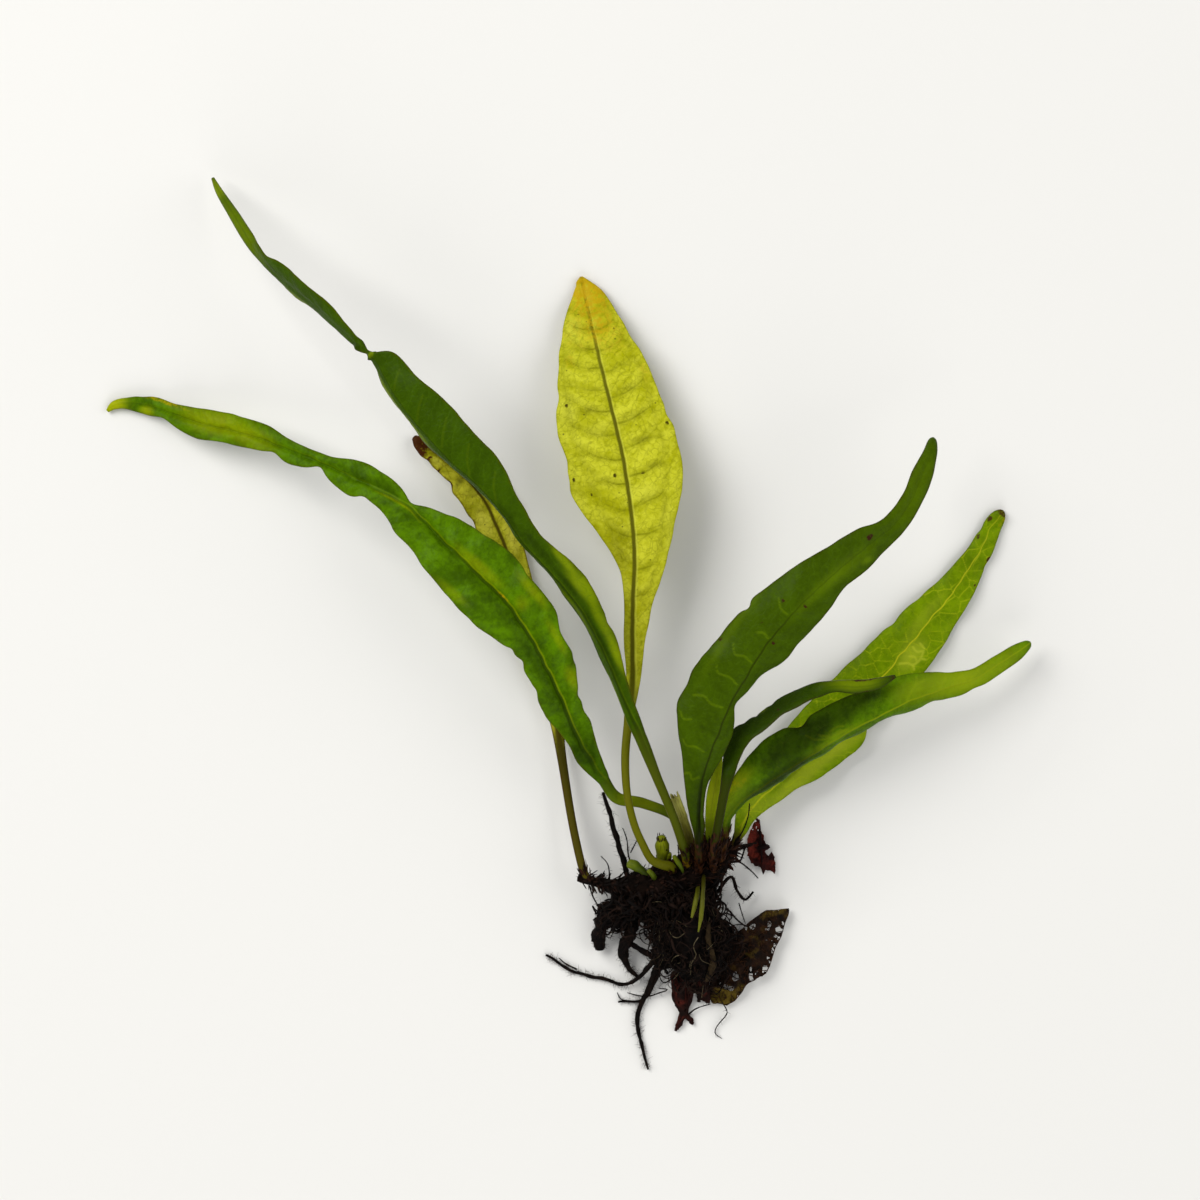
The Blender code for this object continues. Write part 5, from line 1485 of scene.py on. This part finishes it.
def stalk_end_fibres():
    """The torn fibres that stand around the end of the cut stalk."""
    end = Vector(CUT_STALK[-1][:3])
    along = (end - Vector(CUT_STALK[-2][:3])).normalized()
    draw = random.Random(11)
    fibres = []
    for _ in range(STALK_FIBRES):
        aside = Vector([draw.uniform(-1, 1) for _ in range(3)])
        aside = (aside - along * aside.dot(along)).normalized() * draw.uniform(0.2, 0.85)
        reach = draw.uniform(0.2, 0.9)
        first = end + aside - along * 0.5
        second = end + aside * 1.08 + along * reach * 0.5
        third = end + aside * draw.uniform(0.9, 1.4) + along * reach
        width = draw.uniform(0.07, 0.15)
        fibres.append([(*first, width), (*second, width * 0.9), (*third, width * 0.4)])
    return fibres


def make_stalks():
    """The cut stalk, the pale stubs, the green tips on the roots and the bud."""
    pale = make_stalk_material("pale stalk", "#2e260a", "#6a6620", "#a6a24e")
    stub = make_stalk_material("pale stub", "#2e3806", "#46540a", "#586210")
    green = make_stalk_material("green tip", "#2e2c06", "#50520e", "#62641a")
    knob = make_stalk_material("bud", "#242006", "#626a06", "#707808")
    ragged = make_mottled_material("ragged end", "#76702e", "#b2ac60", 0.6, 0.12, 900.0, (0.4, 0.0001))

    rings, values = stalk_rings(CUT_STALK, 0.25, 20, 0.12, 1.0, 0.05)
    finish_piece("cut_stalk_stem", loft(rings, values), pale, "pale_stalk", "cut_stalk")
    add_strands("cut_stalk_fibres", stalk_end_fibres(), 6, ragged, "pale_stalk", "cut_stalk")
    for name, route, material, slot in (
        ("pale_stub", PALE_STUB, stub, "pale_stalk"),
        ("small_stub", SMALL_STUB, stub, "pale_stalk"),
        ("pointed_stub", POINTED_STUB, stub, "pale_stalk"),
        ("long_green_tip", LONG_GREEN_TIP, green, "lime_leaf"),
        ("short_green_tip", SHORT_GREEN_TIP, green, "lime_leaf"),
        ("bud", BUD, knob, "lime_leaf"),
    ):
        rings, values = stalk_rings(rounded_end(route, length=0.8), 0.18, 20, 0.2, len(name), 0.03)
        mesh = loft(rings, values)
        if name == "bud":
            rings, values = stalk_rings(rounded_end(SIDE_BUD, length=1.0), 0.18, 16, 0.2, 5.0, 0.03)
            loft(rings, values, mesh)
        finish_piece(name + "_flesh", mesh, material, slot, name)


# Roots, the creeping stem and its scales.

def add_strands(name, routes, sides, material, slot, replaced, tints=None):
    """Many round strands in one mesh. Each point of a route is x, y, z and radius."""
    curve = bpy.data.curves.new(name, "CURVE")
    curve.dimensions = "3D"
    curve.bevel_depth = MM
    curve.bevel_resolution = sides // 2 - 2
    curve.use_fill_caps = True
    for route in routes:
        spline = curve.splines.new("POLY")
        spline.points.add(len(route) - 1)
        for point, (x, y, z, radius) in zip(spline.points, route):
            point.co = (x * MM, y * MM, z * MM, 1.0)
            point.radius = radius
    maker = place_object(name + "_curve", curve)
    bpy.context.view_layer.update()
    data = bpy.data.meshes.new_from_object(maker.evaluated_get(bpy.context.evaluated_depsgraph_get()))
    mesh = bmesh.new()
    mesh.from_mesh(data)
    if tints:
        layer = mesh.verts.layers.float.new("tint")
        mesh.verts.ensure_lookup_table()
        at = 0
        around = len(mesh.verts) // sum(len(route) for route in routes)
        for route, tint in zip(routes, tints):
            for index in range(at, at + around * len(route)):
                mesh.verts[index][layer] = tint
            at += around * len(route)
    bpy.data.objects.remove(maker)
    bpy.data.curves.remove(curve)
    bpy.data.meshes.remove(data)
    finish_piece(name, mesh, material, slot, replaced)


def random_way(draw):
    """Any direction, not of length 1."""
    return Vector([draw.gauss(0, 1) for _ in range(3)])


def on_lump(lump, way, reach=1.0):
    """The point of a root lump's surface that a direction leads to, or a share of the way to it."""
    centre, size = lump
    return Vector(centre) + Vector((way.x * size[0], way.y * size[1], way.z * size[2])) * reach


def lump_depth(point):
    """How deep a point is in the root lumps, under 1 when inside, and the way out."""
    deepest = None
    for centre, size in ROOT_LUMPS:
        offset = point - Vector(centre)
        depth = Vector([part / half for part, half in zip(offset, size)]).length
        if deepest is None or depth < deepest[0]:
            away = Vector([part / half ** 2 for part, half in zip(offset, size)])
            deepest = (depth, away.normalized())
    return deepest


def wandering_root(draw, start, heading, length, radius, hug):
    """A root that winds over the lumps: hug is the depth that it keeps to."""
    point = start.copy()
    heading = heading.normalized()
    drift = Vector((draw.uniform(0, 90), draw.uniform(0, 90), draw.uniform(0, 90)))
    route = []
    steps = max(4, round(length / ROOT_STEP))
    for step in range(steps + 1):
        t = step / steps
        width = radius * (1 - 0.6 * t ** 2) * (1 + 0.22 * noise.noise(point * 1.3 + drift))
        point.z = max(point.z, width * 0.9)
        route.append((*point, width))
        depth, outward = lump_depth(point)
        push = min(max((hug - depth) * 1.6, -0.8), 0.8)
        winding = noise.noise_vector(point * 0.42 + drift) * 0.75
        heading += outward * push + winding + Vector((0, -0.07, -0.04))
        heading.normalize()
        point = point + heading * ROOT_STEP
    return route


def top_of_tangle(x, y):
    """The height of the top of the root lumps and the creeping stem at a place."""
    top = 0.3
    for centre, size in ROOT_LUMPS:
        inside = 1 - ((x - centre[0]) / size[0]) ** 2 - ((y - centre[1]) / size[1]) ** 2
        if inside > 0:
            top = max(top, centre[2] + size[2] * math.sqrt(inside))
    for stem_x, stem_y, stem_z, radius in RHIZOME_ROUTE:
        inside = radius ** 2 - (x - stem_x) ** 2 / 3 - (y - stem_y) ** 2
        if inside > 0:
            top = max(top, stem_z + math.sqrt(inside))
    return top


def root_route(route, seed):
    """One of the single roots, with small bends and knots along it."""
    result = []
    for x, y, z, radius, distance in spread(route, 0.4):
        sway = noise.noise_vector(Vector((distance * 0.35, seed, 0.0))) * min(0.3, distance * 0.06)
        knots = 0.36 * soft_noise(distance * 0.9, seed, 5.0) + 0.2 * soft_noise(distance * 2.3, seed, 8.0)
        width = radius * (1.02 + knots)
        result.append((x + sway.x, y + sway.y, max(z + sway.z * 0.4, width * 0.9), width))
    return result


def clinging_root(draw, route):
    """A thin strand that winds along a thicker root."""
    first = draw.randrange(0, len(route) // 2)
    last = min(len(route), first + draw.randrange(6, 16))
    turn = draw.uniform(0, 2 * math.pi)
    twist = draw.uniform(-0.25, 0.25)
    share = draw.uniform(0.25, 0.45)
    strand = []
    for index in range(first, last):
        x, y, z, radius = route[index]
        travel = Vector(route[min(index + 1, len(route) - 1)][:3]) - Vector(route[max(index - 1, 0)][:3])
        aside = travel.orthogonal().normalized()
        outward = aside * math.cos(turn) + travel.normalized().cross(aside) * math.sin(turn)
        place = Vector((x, y, z)) + outward * radius * (0.9 + 0.3 * soft_noise(index * 0.4, turn, 0))
        width = radius * share * (1.1 - 0.5 * (index - first) / (last - first))
        strand.append((place.x, place.y, max(place.z, width), width))
        turn += twist
    return strand


def hairs_on(draw, routes, count, longest, thickness):
    """Short curved hairs that stand on the strands."""
    weights = [len(route) * (0.4 + route[0][3]) for route in routes]
    hairs = []
    for route in draw.choices(routes, weights, k=count):
        index = draw.randrange(1, len(route) - 1)
        point = Vector(route[index][:3])
        travel = (Vector(route[index + 1][:3]) - point).normalized()
        outward = random_way(draw)
        outward = (outward - travel * outward.dot(travel)).normalized()
        lean = travel * draw.uniform(-0.6, 0.9)
        length = longest * draw.uniform(0.3, 1.0)
        curl = Vector([draw.uniform(-0.6, 0.6) for _ in range(3)])
        hair = []
        for t in (0.0, 0.35, 0.7, 1.0):
            place = point + (outward + lean * t + curl * t * t) * length * t
            place += outward * route[index][3] * 0.6
            width = thickness * (1 - 0.7 * t)
            hair.append((place.x, place.y, max(place.z, width), width))
        hairs.append(hair)
    return hairs


def make_root_core(material):
    """The dark matted lumps inside the tangle."""
    core = bmesh.new()
    layer = core.verts.layers.float.new("tint")
    for index, lump in enumerate(ROOT_LUMPS):
        for vert in bmesh.ops.create_icosphere(core, subdivisions=5, radius=1.0)["verts"]:
            way = vert.co.normalized()
            rough = noise.fractal(way * 2.6 + Vector((index * 9.0, 0, 0)), 0.8, 2.1, 4)
            stringy = abs(noise.noise(Vector((way.x * 9, way.y * 2.5, way.z * 9)) + Vector((index, 3, 0))))
            place = on_lump(lump, way, 0.84 + 0.13 * rough + 0.1 * stringy)
            place.z = max(place.z, 0.02)
            vert.co = place * MM
            vert[layer] = 0.2 * stringy
    finish_piece("root_core", core, material, "roots", "root_mass")


def tangle_strands(draw, stem):
    """The wiry strands of the tangle, from the stem and over the lumps, and their tints."""
    strands = []
    tints = []
    for _ in range(LONG_STRANDS):
        x, y, z, radius, _ = stem[draw.randrange(len(stem) // 4, len(stem))]
        start = Vector((x + draw.uniform(-0.6, 0.6), y - radius * 0.5, z - draw.uniform(0.0, 0.6) * radius))
        heading = Vector((draw.uniform(-0.6, 0.5), -1.0, draw.uniform(-0.2, 0.6)))
        thick = draw.uniform(0.12, 0.38)
        length = draw.uniform(8, 19)
        strands.append(wandering_root(draw, start, heading, length, thick, draw.uniform(0.86, 1.06)))
        tints.append(draw.random() ** 2.2)
    for _ in range(SHORT_STRANDS):
        lump = draw.choices(ROOT_LUMPS, (5, 6, 4, 3, 2, 3, 2))[0]
        way = random_way(draw).normalized()
        start = on_lump(lump, Vector((way.x, way.y, abs(way.z))))
        heading = random_way(draw) + Vector((0, -0.5, 0))
        thick = draw.uniform(0.06, 0.2)
        length = draw.uniform(4, 12)
        strands.append(wandering_root(draw, start, heading, length, thick, draw.uniform(0.92, 1.1)))
        tints.append(draw.random() ** 1.7)
    return strands, tints


def pale_rootlets(draw):
    """The pale rootlets on top of the tangle: those that the tables give, and a few loose ones."""
    routes = []
    for index, route in enumerate(PALE_ROOTLETS):
        raised = [(x, y, top_of_tangle(x, y) + 0.2, radius * 0.68) for x, y, radius in route]
        routes.append(root_route(raised, 90.0 + 3.0 * index))
    for _ in range(LOOSE_ROOTLETS):
        lump = draw.choices(ROOT_LUMPS, (4, 6, 5, 1, 2, 3, 0))[0]
        way = Vector((draw.gauss(0, 1), draw.gauss(0, 1), abs(draw.gauss(0.6, 1)))).normalized()
        start = on_lump(lump, way, 1.04)
        heading = Vector((draw.uniform(-0.5, 0.5), -1.0, 0.0))
        length = draw.uniform(1.5, 4)
        routes.append(wandering_root(draw, start, heading, length, draw.uniform(0.035, 0.06), 1.08))
    return routes


def make_roots():
    """The tangle of roots: a dark matted core, wiry strands over it, single roots, and fine hairs."""
    draw = random.Random(5)
    dark = make_root_material("root strands", "#060403", "#22150f", 0.72)
    fuzz = make_root_material("root hairs", "#0f0a07", "#3c2d22", 0.8)
    straw = make_root_material("pale rootlets", "#2e2517", "#6a6048", 0.7)
    flat = make_root_material("flat root", "#1e160c", "#42341e", 0.7)

    make_root_core(dark)
    stem = spread(RHIZOME_ROUTE, 0.5)
    strands, tints = tangle_strands(draw, stem)
    add_strands("root_strands", strands, 6, dark, "roots", "root_mass", tints)
    single = [root_route(route, 3.0 * index) for index, route in enumerate(ROOT_ROUTES)]
    wraps = [clinging_root(draw, route) for route in single[:2] * 9 + single[2:6] * 3]
    tints = [0.08] * len(single) + [draw.uniform(0.0, 0.4) for _ in wraps]
    add_strands("single_roots", single + wraps, 10, dark, "roots", "root_mass", tints)
    thin = [root_route(route, 50.0 + 3.0 * index) for index, route in enumerate(THIN_ROOTS)]
    tints = [draw.uniform(0.1, 0.6) for _ in thin]
    add_strands("thin_roots", thin, 8, dark, "roots", "root_mass", tints)

    tangle_hairs = hairs_on(draw, strands, 3600, 1.2, 0.035)
    blunt = [single[0][len(single[0]) * 3 // 5:]]
    stem_end = [[row[:4] for row in stem[len(stem) * 3 // 4:]]]
    root_hairs = []
    for routes, count, longest, thickness in (
        (single, 2000, 0.9, 0.03),
        (thin, 500, 0.6, 0.025),
        (blunt, 420, 0.5, 0.035),
        (single[:2], 900, 0.7, 0.03),
        (stem_end, 300, 1.2, 0.04),
    ):
        root_hairs += hairs_on(draw, routes, count, longest, thickness)
    for name, hairs in (("tangle_hairs", tangle_hairs), ("root_hairs", root_hairs)):
        tints = [draw.random() for _ in hairs]
        add_strands(name, hairs, 4, fuzz, "roots", "root_mass", tints)
    pale = pale_rootlets(draw)
    tints = [draw.uniform(0.2, 1.0) for _ in pale]
    add_strands("pale_rootlets", pale, 6, straw, "roots", "root_mass", tints)

    rows = [(x, y, top_of_tangle(x, y) + 0.1, width) for x, y, width in STRAP]
    rings, values = stalk_rings(rounded_end(rows, start=True), 0.25, 14, 0.5, 6.0, 0.06)
    values["tint"] = [[0.3] * 14 for _ in rings]
    finish_piece("pale_strap", loft(rings, values), flat, "roots", "root_mass")


def scale_place(place, along, outward, length, width):
    """Where a small thin scale stands, which points along: its matrix."""
    along = along.normalized()
    outward = (outward - along * outward.dot(along)).normalized()
    aside = along.cross(outward)
    middle = place + along * length * 0.45
    columns = (aside * width / 2, outward * 0.045, along * length / 2, middle)
    return Matrix([[column[row] * MM for column in columns] for row in range(3)] + [[0, 0, 0, 1]])


def scale_mesh(scales):
    """All scales in one mesh: a flattened ball at each place, with its tint."""
    ball = bmesh.new()
    bmesh.ops.create_uvsphere(ball, u_segments=6, v_segments=5, radius=1.0)
    around = len(ball.verts)
    shape = bpy.data.meshes.new("scale shape")
    ball.to_mesh(shape)
    ball.free()
    mesh = bmesh.new()
    for place, _ in scales:
        scale = shape.copy()
        scale.transform(place)
        mesh.from_mesh(scale)
        bpy.data.meshes.remove(scale)
    bpy.data.meshes.remove(shape)
    layer = mesh.verts.layers.float.new("tint")
    for index, vert in enumerate(mesh.verts):
        vert[layer] = scales[index // around][1]
    return mesh


def around_way(travel, aside, turn):
    """The way out from a stem at a turn around it."""
    return aside * math.cos(turn) + travel.cross(aside) * math.sin(turn)


def stem_scales(draw, rows):
    """The scales all over the creeping stem: their places and tints."""
    travels = directions(rows)
    for _ in range(STEM_SCALES):
        index = draw.randrange(2, len(rows))
        x, y, z, radius, _ = rows[index]
        turn = draw.uniform(-0.35, math.pi + 0.35)
        aside = Vector((0, 0, 1)).cross(travels[index]).normalized()
        outward = around_way(travels[index], aside, turn)
        along = travels[index] * draw.uniform(0.1, 1.0) + outward * draw.uniform(0.1, 0.5)
        along += aside * draw.uniform(-0.7, 0.7)
        place = Vector((x, y, z)) + outward * radius * 0.98
        spot = scale_place(place, along, outward, draw.uniform(0.9, 2.0), draw.uniform(0.3, 0.55))
        yield spot, draw.random() ** 1.6 * (0.12 + 0.88 * smooth_step((x - 20.0) / 3.5))


def sheath_scales(draw):
    """The scales around the foot of each stalk: their places and tints."""
    for name, reach in SHEATHS.items():
        stalk = [row for row in spread(FRONDS[name]["stations"], 0.3) if row[7] < reach]
        travels = directions(stalk)
        for _ in range(round(reach * SCALES_PER_MILLIMETRE)):
            index = round((len(stalk) - 1) * draw.random() ** 1.3)
            rise = travels[index]
            outward = around_way(rise, rise.orthogonal().normalized(), draw.uniform(0, 2 * math.pi))
            place = Vector(stalk[index][:3]) + outward * (stalk[index][3] + 0.02)
            along = rise + outward * draw.uniform(0.0, 0.5)
            spot = scale_place(place, along, outward, draw.uniform(1.0, 2.2), draw.uniform(0.25, 0.5))
            yield spot, draw.random() ** 1.5


def crown_scales(draw, rows):
    """The longer scales that point forward from the crown: their places and tints."""
    for _ in range(CROWN_SCALES):
        x, y, z, radius, _ = rows[draw.randrange(len(rows) * 2 // 3, len(rows) - 4)]
        turn = draw.uniform(-0.15, 1.0) * math.pi / 2
        outward = Vector((0, math.cos(turn), math.sin(turn)))
        place = Vector((x + draw.uniform(-0.5, 0.5), y, z)) + outward * radius * draw.uniform(0.95, 1.25)
        along = Vector((draw.uniform(-0.35, 0.35), 1.0, draw.uniform(0.0, 1.0)))
        spot = scale_place(place, along, outward, draw.uniform(1.2, 3.0), draw.uniform(0.2, 0.45))
        yield spot, draw.uniform(0.1, 1.0)


def bud_scales(draw):
    """The rings of scales on the bud: their places and tints."""
    foot, top = Vector(BUD[0][:3]), Vector(BUD[-1][:3])
    rise = (top - foot).normalized()
    aside = rise.orthogonal().normalized()
    for count, height, radius, length, width in BUD_SCALES:
        for index in range(count):
            turn = 2 * math.pi * (index + draw.uniform(-0.3, 0.3)) / count
            outward = around_way(rise, aside, turn)
            place = foot.lerp(top, height) + outward * radius
            along = rise + outward * draw.uniform(-0.3, 0.4)
            spot = scale_place(place, along, outward, length * draw.uniform(0.7, 1.2),
                               width * draw.uniform(0.8, 1.2))
            yield spot, draw.uniform(0.2, 0.7)


def make_rhizome():
    """The creeping stem, covered with narrow scales that also sheathe the foot of each stalk."""
    draw = random.Random(21)
    bark = make_mottled_material("rhizome bark", "#060403", "#140c08", 0.8, 0.02, 700.0, (0.9, 0.0003))
    skin = make_root_material("rhizome scales", "#090503", "#3c2114", 0.6)
    rings, values = stalk_rings(rounded_end(RHIZOME_ROUTE, start=True), 0.3, 40, 0.3, 2.0, 0.03)
    finish_piece("rhizome_stem", loft(rings, values), bark, "rhizome", "rhizome")
    rows = spread(RHIZOME_ROUTE, 0.3)
    scales = [*stem_scales(draw, rows), *sheath_scales(draw), *crown_scales(draw, rows), *bud_scales(draw)]
    finish_piece("rhizome_scales", scale_mesh(scales), skin, "rhizome", "rhizome")


# Withered leaves.

def is_inside(outline, place):
    """Whether a place lies inside an outline."""
    found = False
    for (ax, ay), (bx, by) in zip(outline, outline[1:] + outline[:1]):
        if (ay > place.y) != (by > place.y) and place.x < ax + (bx - ax) * (place.y - ay) / (by - ay):
            found = not found
    return found


def nearest_on(outline, place):
    """The point of an outline that is nearest to a place."""
    found = None
    for a, b in zip(outline, outline[1:] + outline[:1]):
        point, share = geometry.intersect_point_line(place, Vector(a), Vector(b))
        point = Vector(a).lerp(Vector(b), min(max(share, 0.0), 1.0))
        if found is None or (point - place).length < (found - place).length:
            found = point
    return found


def cut_sheet(outline, cell):
    """A flat grid in millimetres, trimmed to an outline."""
    low = Vector((min(x for x, _ in outline), min(y for _, y in outline)))
    size = Vector((max(x for x, _ in outline), max(y for _, y in outline))) - low
    mesh = bmesh.new()
    counts = [max(2, round(length / cell)) for length in size]
    made = bmesh.ops.create_grid(mesh, x_segments=counts[0], y_segments=counts[1], size=1.0)["verts"]
    for vert in made:
        vert.co.x = low.x + (vert.co.x + 1) / 2 * size.x
        vert.co.y = low.y + (vert.co.y + 1) / 2 * size.y
    outside = [face for face in mesh.faces if not is_inside(outline, face.calc_center_median())]
    bmesh.ops.delete(mesh, geom=outside, context="FACES")
    for vert in mesh.verts:
        if vert.is_boundary:
            point = nearest_on(outline, vert.co.xy)
            if (point - vert.co.xy).length < 1.2 * cell:
                vert.co.xy = point
    return mesh


def hole_depth(hole, place):
    """How far a place is from the middle of a hole: 1 at its uneven edge."""
    x, y, half_width, half_length = hole
    offset = Vector(((place.x - x) / half_width, (place.y - y) / half_length))
    way = offset.normalized() if offset.length > 0.001 else offset
    return offset.length / (1 + 0.35 * soft_noise(way.x * 1.5, way.y * 1.5, x + y))


def is_torn(face, holes):
    """Whether a face lies inside one of the holes."""
    return any(hole_depth(hole, face.calc_center_median()) < 1 for hole in holes)


def torn_sheet(outline, holes, light, form, cell, curl, thickness, seed):
    """A thin torn leaf. form: place and height of its highest point, how it falls away, and its slope."""
    mesh = cut_sheet(outline, cell)
    share = mesh.verts.layers.float.new("share")
    torn = [face for face in mesh.faces if is_torn(face, holes)]
    bmesh.ops.delete(mesh, geom=torn, context="FACES")
    top_x, top_y, top_z, fall, slope = form
    for vert in mesh.verts:
        x, y = vert.co.xy
        if vert.is_boundary:
            x += 1.2 * cell * soft_noise(x * 2.6, y * 2.6, seed)
            y += 1.2 * cell * soft_noise(x * 2.6, y * 2.6, seed + 2.0)
            for hole in holes:
                depth = hole_depth(hole, vert.co)
                if 0.5 < depth < 1.6 and (vert.co.xy - Vector(hole[:2])).length * abs(1 - 1 / depth) < cell:
                    x = hole[0] + (vert.co.x - hole[0]) / depth
                    y = hole[1] + (vert.co.y - hole[1]) / depth
        z = top_z + slope * (y - top_y) - fall * ((x - top_x) ** 2 + (y - top_y) ** 2)
        z += curl * soft_noise(x * 0.55, y * 0.45, seed)
        z += 0.5 * curl * abs(soft_noise(x * 1.5, y * 1.2, seed + 4.0))
        z += 0.25 * curl * soft_noise(x * 3.4, y * 3.0, seed + 8.0)
        vert[share] = sum(
            strength * math.exp(-((x - at_x) ** 2 + (y - at_y) ** 2) / reach ** 2)
            for at_x, at_y, reach, strength in light
        )
        vert.co = Vector((x, y, max(z, 0.15))) * MM
    bmesh.ops.recalc_face_normals(mesh, faces=mesh.faces)
    bmesh.ops.solidify(mesh, geom=list(mesh.faces), thickness=thickness * MM)
    return mesh


def leaf_lace(seed):
    """The open net of the leaf remains: uneven cells between thin brown veins."""
    draw = random.Random(seed)
    mesh = cut_sheet(SKELETON_LEAF, 0.75)
    for vert in mesh.verts:
        x, y = vert.co.xy
        z = 2.5 - 0.013 * ((x - 31.0) ** 2 + (y + 55.0) ** 2) + 0.5 * soft_noise(x * 0.5, y * 0.4, 16.0)
        if not vert.is_boundary:
            x += draw.uniform(-0.25, 0.25)
            y += draw.uniform(-0.25, 0.25)
        vert.co = Vector((x, y, max(z + draw.uniform(-0.25, 0.25), 0.2))) * MM
    bmesh.ops.triangulate(mesh, faces=mesh.faces)
    inner = [edge for edge in mesh.edges if len(edge.link_faces) == 2 and draw.random() < 0.4]
    bmesh.ops.dissolve_edges(mesh, edges=inner, use_verts=False)
    bmesh.ops.wireframe(mesh, faces=mesh.faces, thickness=0.22 * MM, use_replace=True, use_boundary=True,
                        use_even_offset=False)
    return mesh


def scrap_fibres(seed):
    """The strips of the withered scrap, which draw together and part again in two tails."""
    draw = random.Random(seed)
    fibres = []
    for _ in range(40):
        first = Vector((draw.uniform(17.3, 21.0), draw.uniform(-59.8, -58.8), draw.uniform(1.6, 3.0)))
        second = Vector((draw.uniform(17.7, 20.9), -62.8, draw.uniform(0.9, 2.0)))
        third = Vector((19.6 + draw.uniform(-0.6, 0.4), -66.2, draw.uniform(0.4, 1.0)))
        last = Vector((18.2, -69.1, 0.4)) if draw.random() < 0.5 else Vector((21.0, -68.1, 0.4))
        last += Vector((draw.uniform(-0.2, 0.2), draw.uniform(-0.1, 1.0), draw.uniform(-0.1, 0.3)))
        width = draw.uniform(0.06, 0.2)
        route = [(*first, width), (*second, width * 1.2), (*third, width), (*last, width * 0.5)]
        fibres.append(root_route(route, draw.uniform(0, 90)))
    for _ in range(22):
        first = Vector((draw.uniform(21.6, 24.0), draw.uniform(-61.0, -59.8), draw.uniform(1.2, 2.4)))
        last = Vector((23.8, -64.5, 0.6)) + Vector((draw.uniform(-1.2, 0.1), draw.uniform(0.0, 1.4), 0))
        width = draw.uniform(0.06, 0.18)
        middle = first.lerp(last, 0.5)
        route = [(*first, width), (*middle, width * 1.2), (*last, width * 0.4)]
        fibres.append(root_route(route, draw.uniform(0, 90)))
    return fibres, [draw.random() for _ in fibres]


def make_withered():
    """The dark red leaf, the withered scrap and the lacy leaf remains."""
    red = make_withered_material("dead leaf", "#1c0705", "#380f0a", "#602016")
    scrap = make_withered_material("withered scrap", "#100604", "#240c07", "#42150d")
    olive = make_withered_material("leaf remains", "#0b0603", "#281409", "#544412", 450.0)
    ribs = make_root_material("withered ribs", "#0e0504", "#2a0c08", 0.65)
    lace = make_mottled_material("leaf lace", "#140b07", "#38200f", 0.65, 0.06, 900.0, (0.5, 0.0001))
    strips = make_root_material("withered fibres", "#120605", "#38150e", 0.65)

    form = (32.4, -38.0, 1.0, 0.0, 0.0)
    sheet = torn_sheet(DEAD_LEAF, DEAD_LEAF_HOLES, DEAD_LEAF_LIGHT, form, 0.16, 0.9, 0.14, 4.0)
    finish_piece("dead_leaf_sheet", sheet, red, "dead_leaf", "dead_leaf")
    routes = [root_route(route, 7.0) for route in DEAD_LEAF_RIBS]
    add_strands("dead_leaf_ribs", routes, 10, ribs, "dead_leaf", "dead_leaf", [0.2, 0.0])

    form = (19.0, -59.0, 2.2, 0.0, 0.19)
    sheet = torn_sheet(WITHERED_SCRAP, SCRAP_HOLES, SCRAP_PAINTED_GLOW, form, 0.16, 0.8, 0.14, 8.0)
    finish_piece("withered_scrap_sheet", sheet, scrap, "dead_leaf", "withered_scrap")
    form = (22.5, -61.0, 1.8, 0.0, 0.25)
    sheet = torn_sheet(SMALL_SCRAP, [], SCRAP_PAINTED_GLOW, form, 0.16, 0.7, 0.14, 9.0)
    finish_piece("small_scrap_sheet", sheet, scrap, "dead_leaf", "withered_scrap")
    fibres, tints = scrap_fibres(37)
    add_strands("withered_scrap_fibres", fibres, 6, strips, "dead_leaf", "withered_scrap", tints)

    form = (31.0, -55.0, 2.5, 0.013, 0.0)
    sheet = torn_sheet(SKELETON_LEAF, SKELETON_HOLES, SKELETON_LIGHT, form, 0.2, 0.9, 0.16, 13.0)
    finish_piece("skeleton_leaf_patches", sheet, olive, "skeleton_leaf", "skeleton_leaf")
    finish_piece("skeleton_leaf_lace", leaf_lace(31), lace, "skeleton_leaf", "skeleton_leaf")


# The surface, lights and camera.

def make_stage():
    """A pale floor, three soft lights and the camera straight above."""
    mesh = bmesh.new()
    bmesh.ops.create_grid(mesh, x_segments=1, y_segments=1, size=1.5)
    data = bpy.data.meshes.new("floor")
    mesh.to_mesh(data)
    mesh.free()
    material, _, shader = new_material("pale floor")
    feed(shader, {"Base Color": "#dcdad4", "Roughness": 0.75, "Specular IOR Level": 0.2})
    data.materials.append(material)
    place_object("floor", data)

    for name, place, size, power in (
        ("key light", (-0.75, 0.55, 0.95), 0.9, 17.0),
        ("fill light", (0.95, 0.1, 0.75), 1.0, 6.0),
        ("back light", (0.1, -1.0, 0.7), 0.8, 5.0),
    ):
        light = bpy.data.lights.new(name, "AREA")
        light.size = size
        light.energy = power
        lamp = place_object(name, light)
        lamp.location = place
        lamp.rotation_euler = Vector(place).to_track_quat("Z", "Y").to_euler()

    world = bpy.data.worlds.new("soft grey room")
    world.use_nodes = True
    feed(world.node_tree.nodes["Background"], {"Color": (0.9, 0.93, 1.0, 1.0), "Strength": 0.35})
    bpy.context.scene.world = world
    bpy.context.scene.view_settings.view_transform = "Standard"

    camera = bpy.data.cameras.new("camera")
    camera.sensor_width = SENSOR_WIDTH
    camera.lens = SENSOR_WIDTH * CAMERA_HEIGHT / PICTURE_WIDTH
    camera.clip_start = 0.05
    camera.clip_end = 10.0
    seat = place_object("camera", camera)
    seat.location = (CAMERA_X * MM, CAMERA_Y * MM, CAMERA_HEIGHT * MM)
    bpy.context.scene.camera = seat


noise.seed_set(NOISE_SEED)
leaf_pattern()
stalk_pattern()
root_pattern()
withered_pattern()
mottled_pattern()
make_stage()
make_fronds()
make_stalks()
make_roots()
make_rhizome()
make_withered()
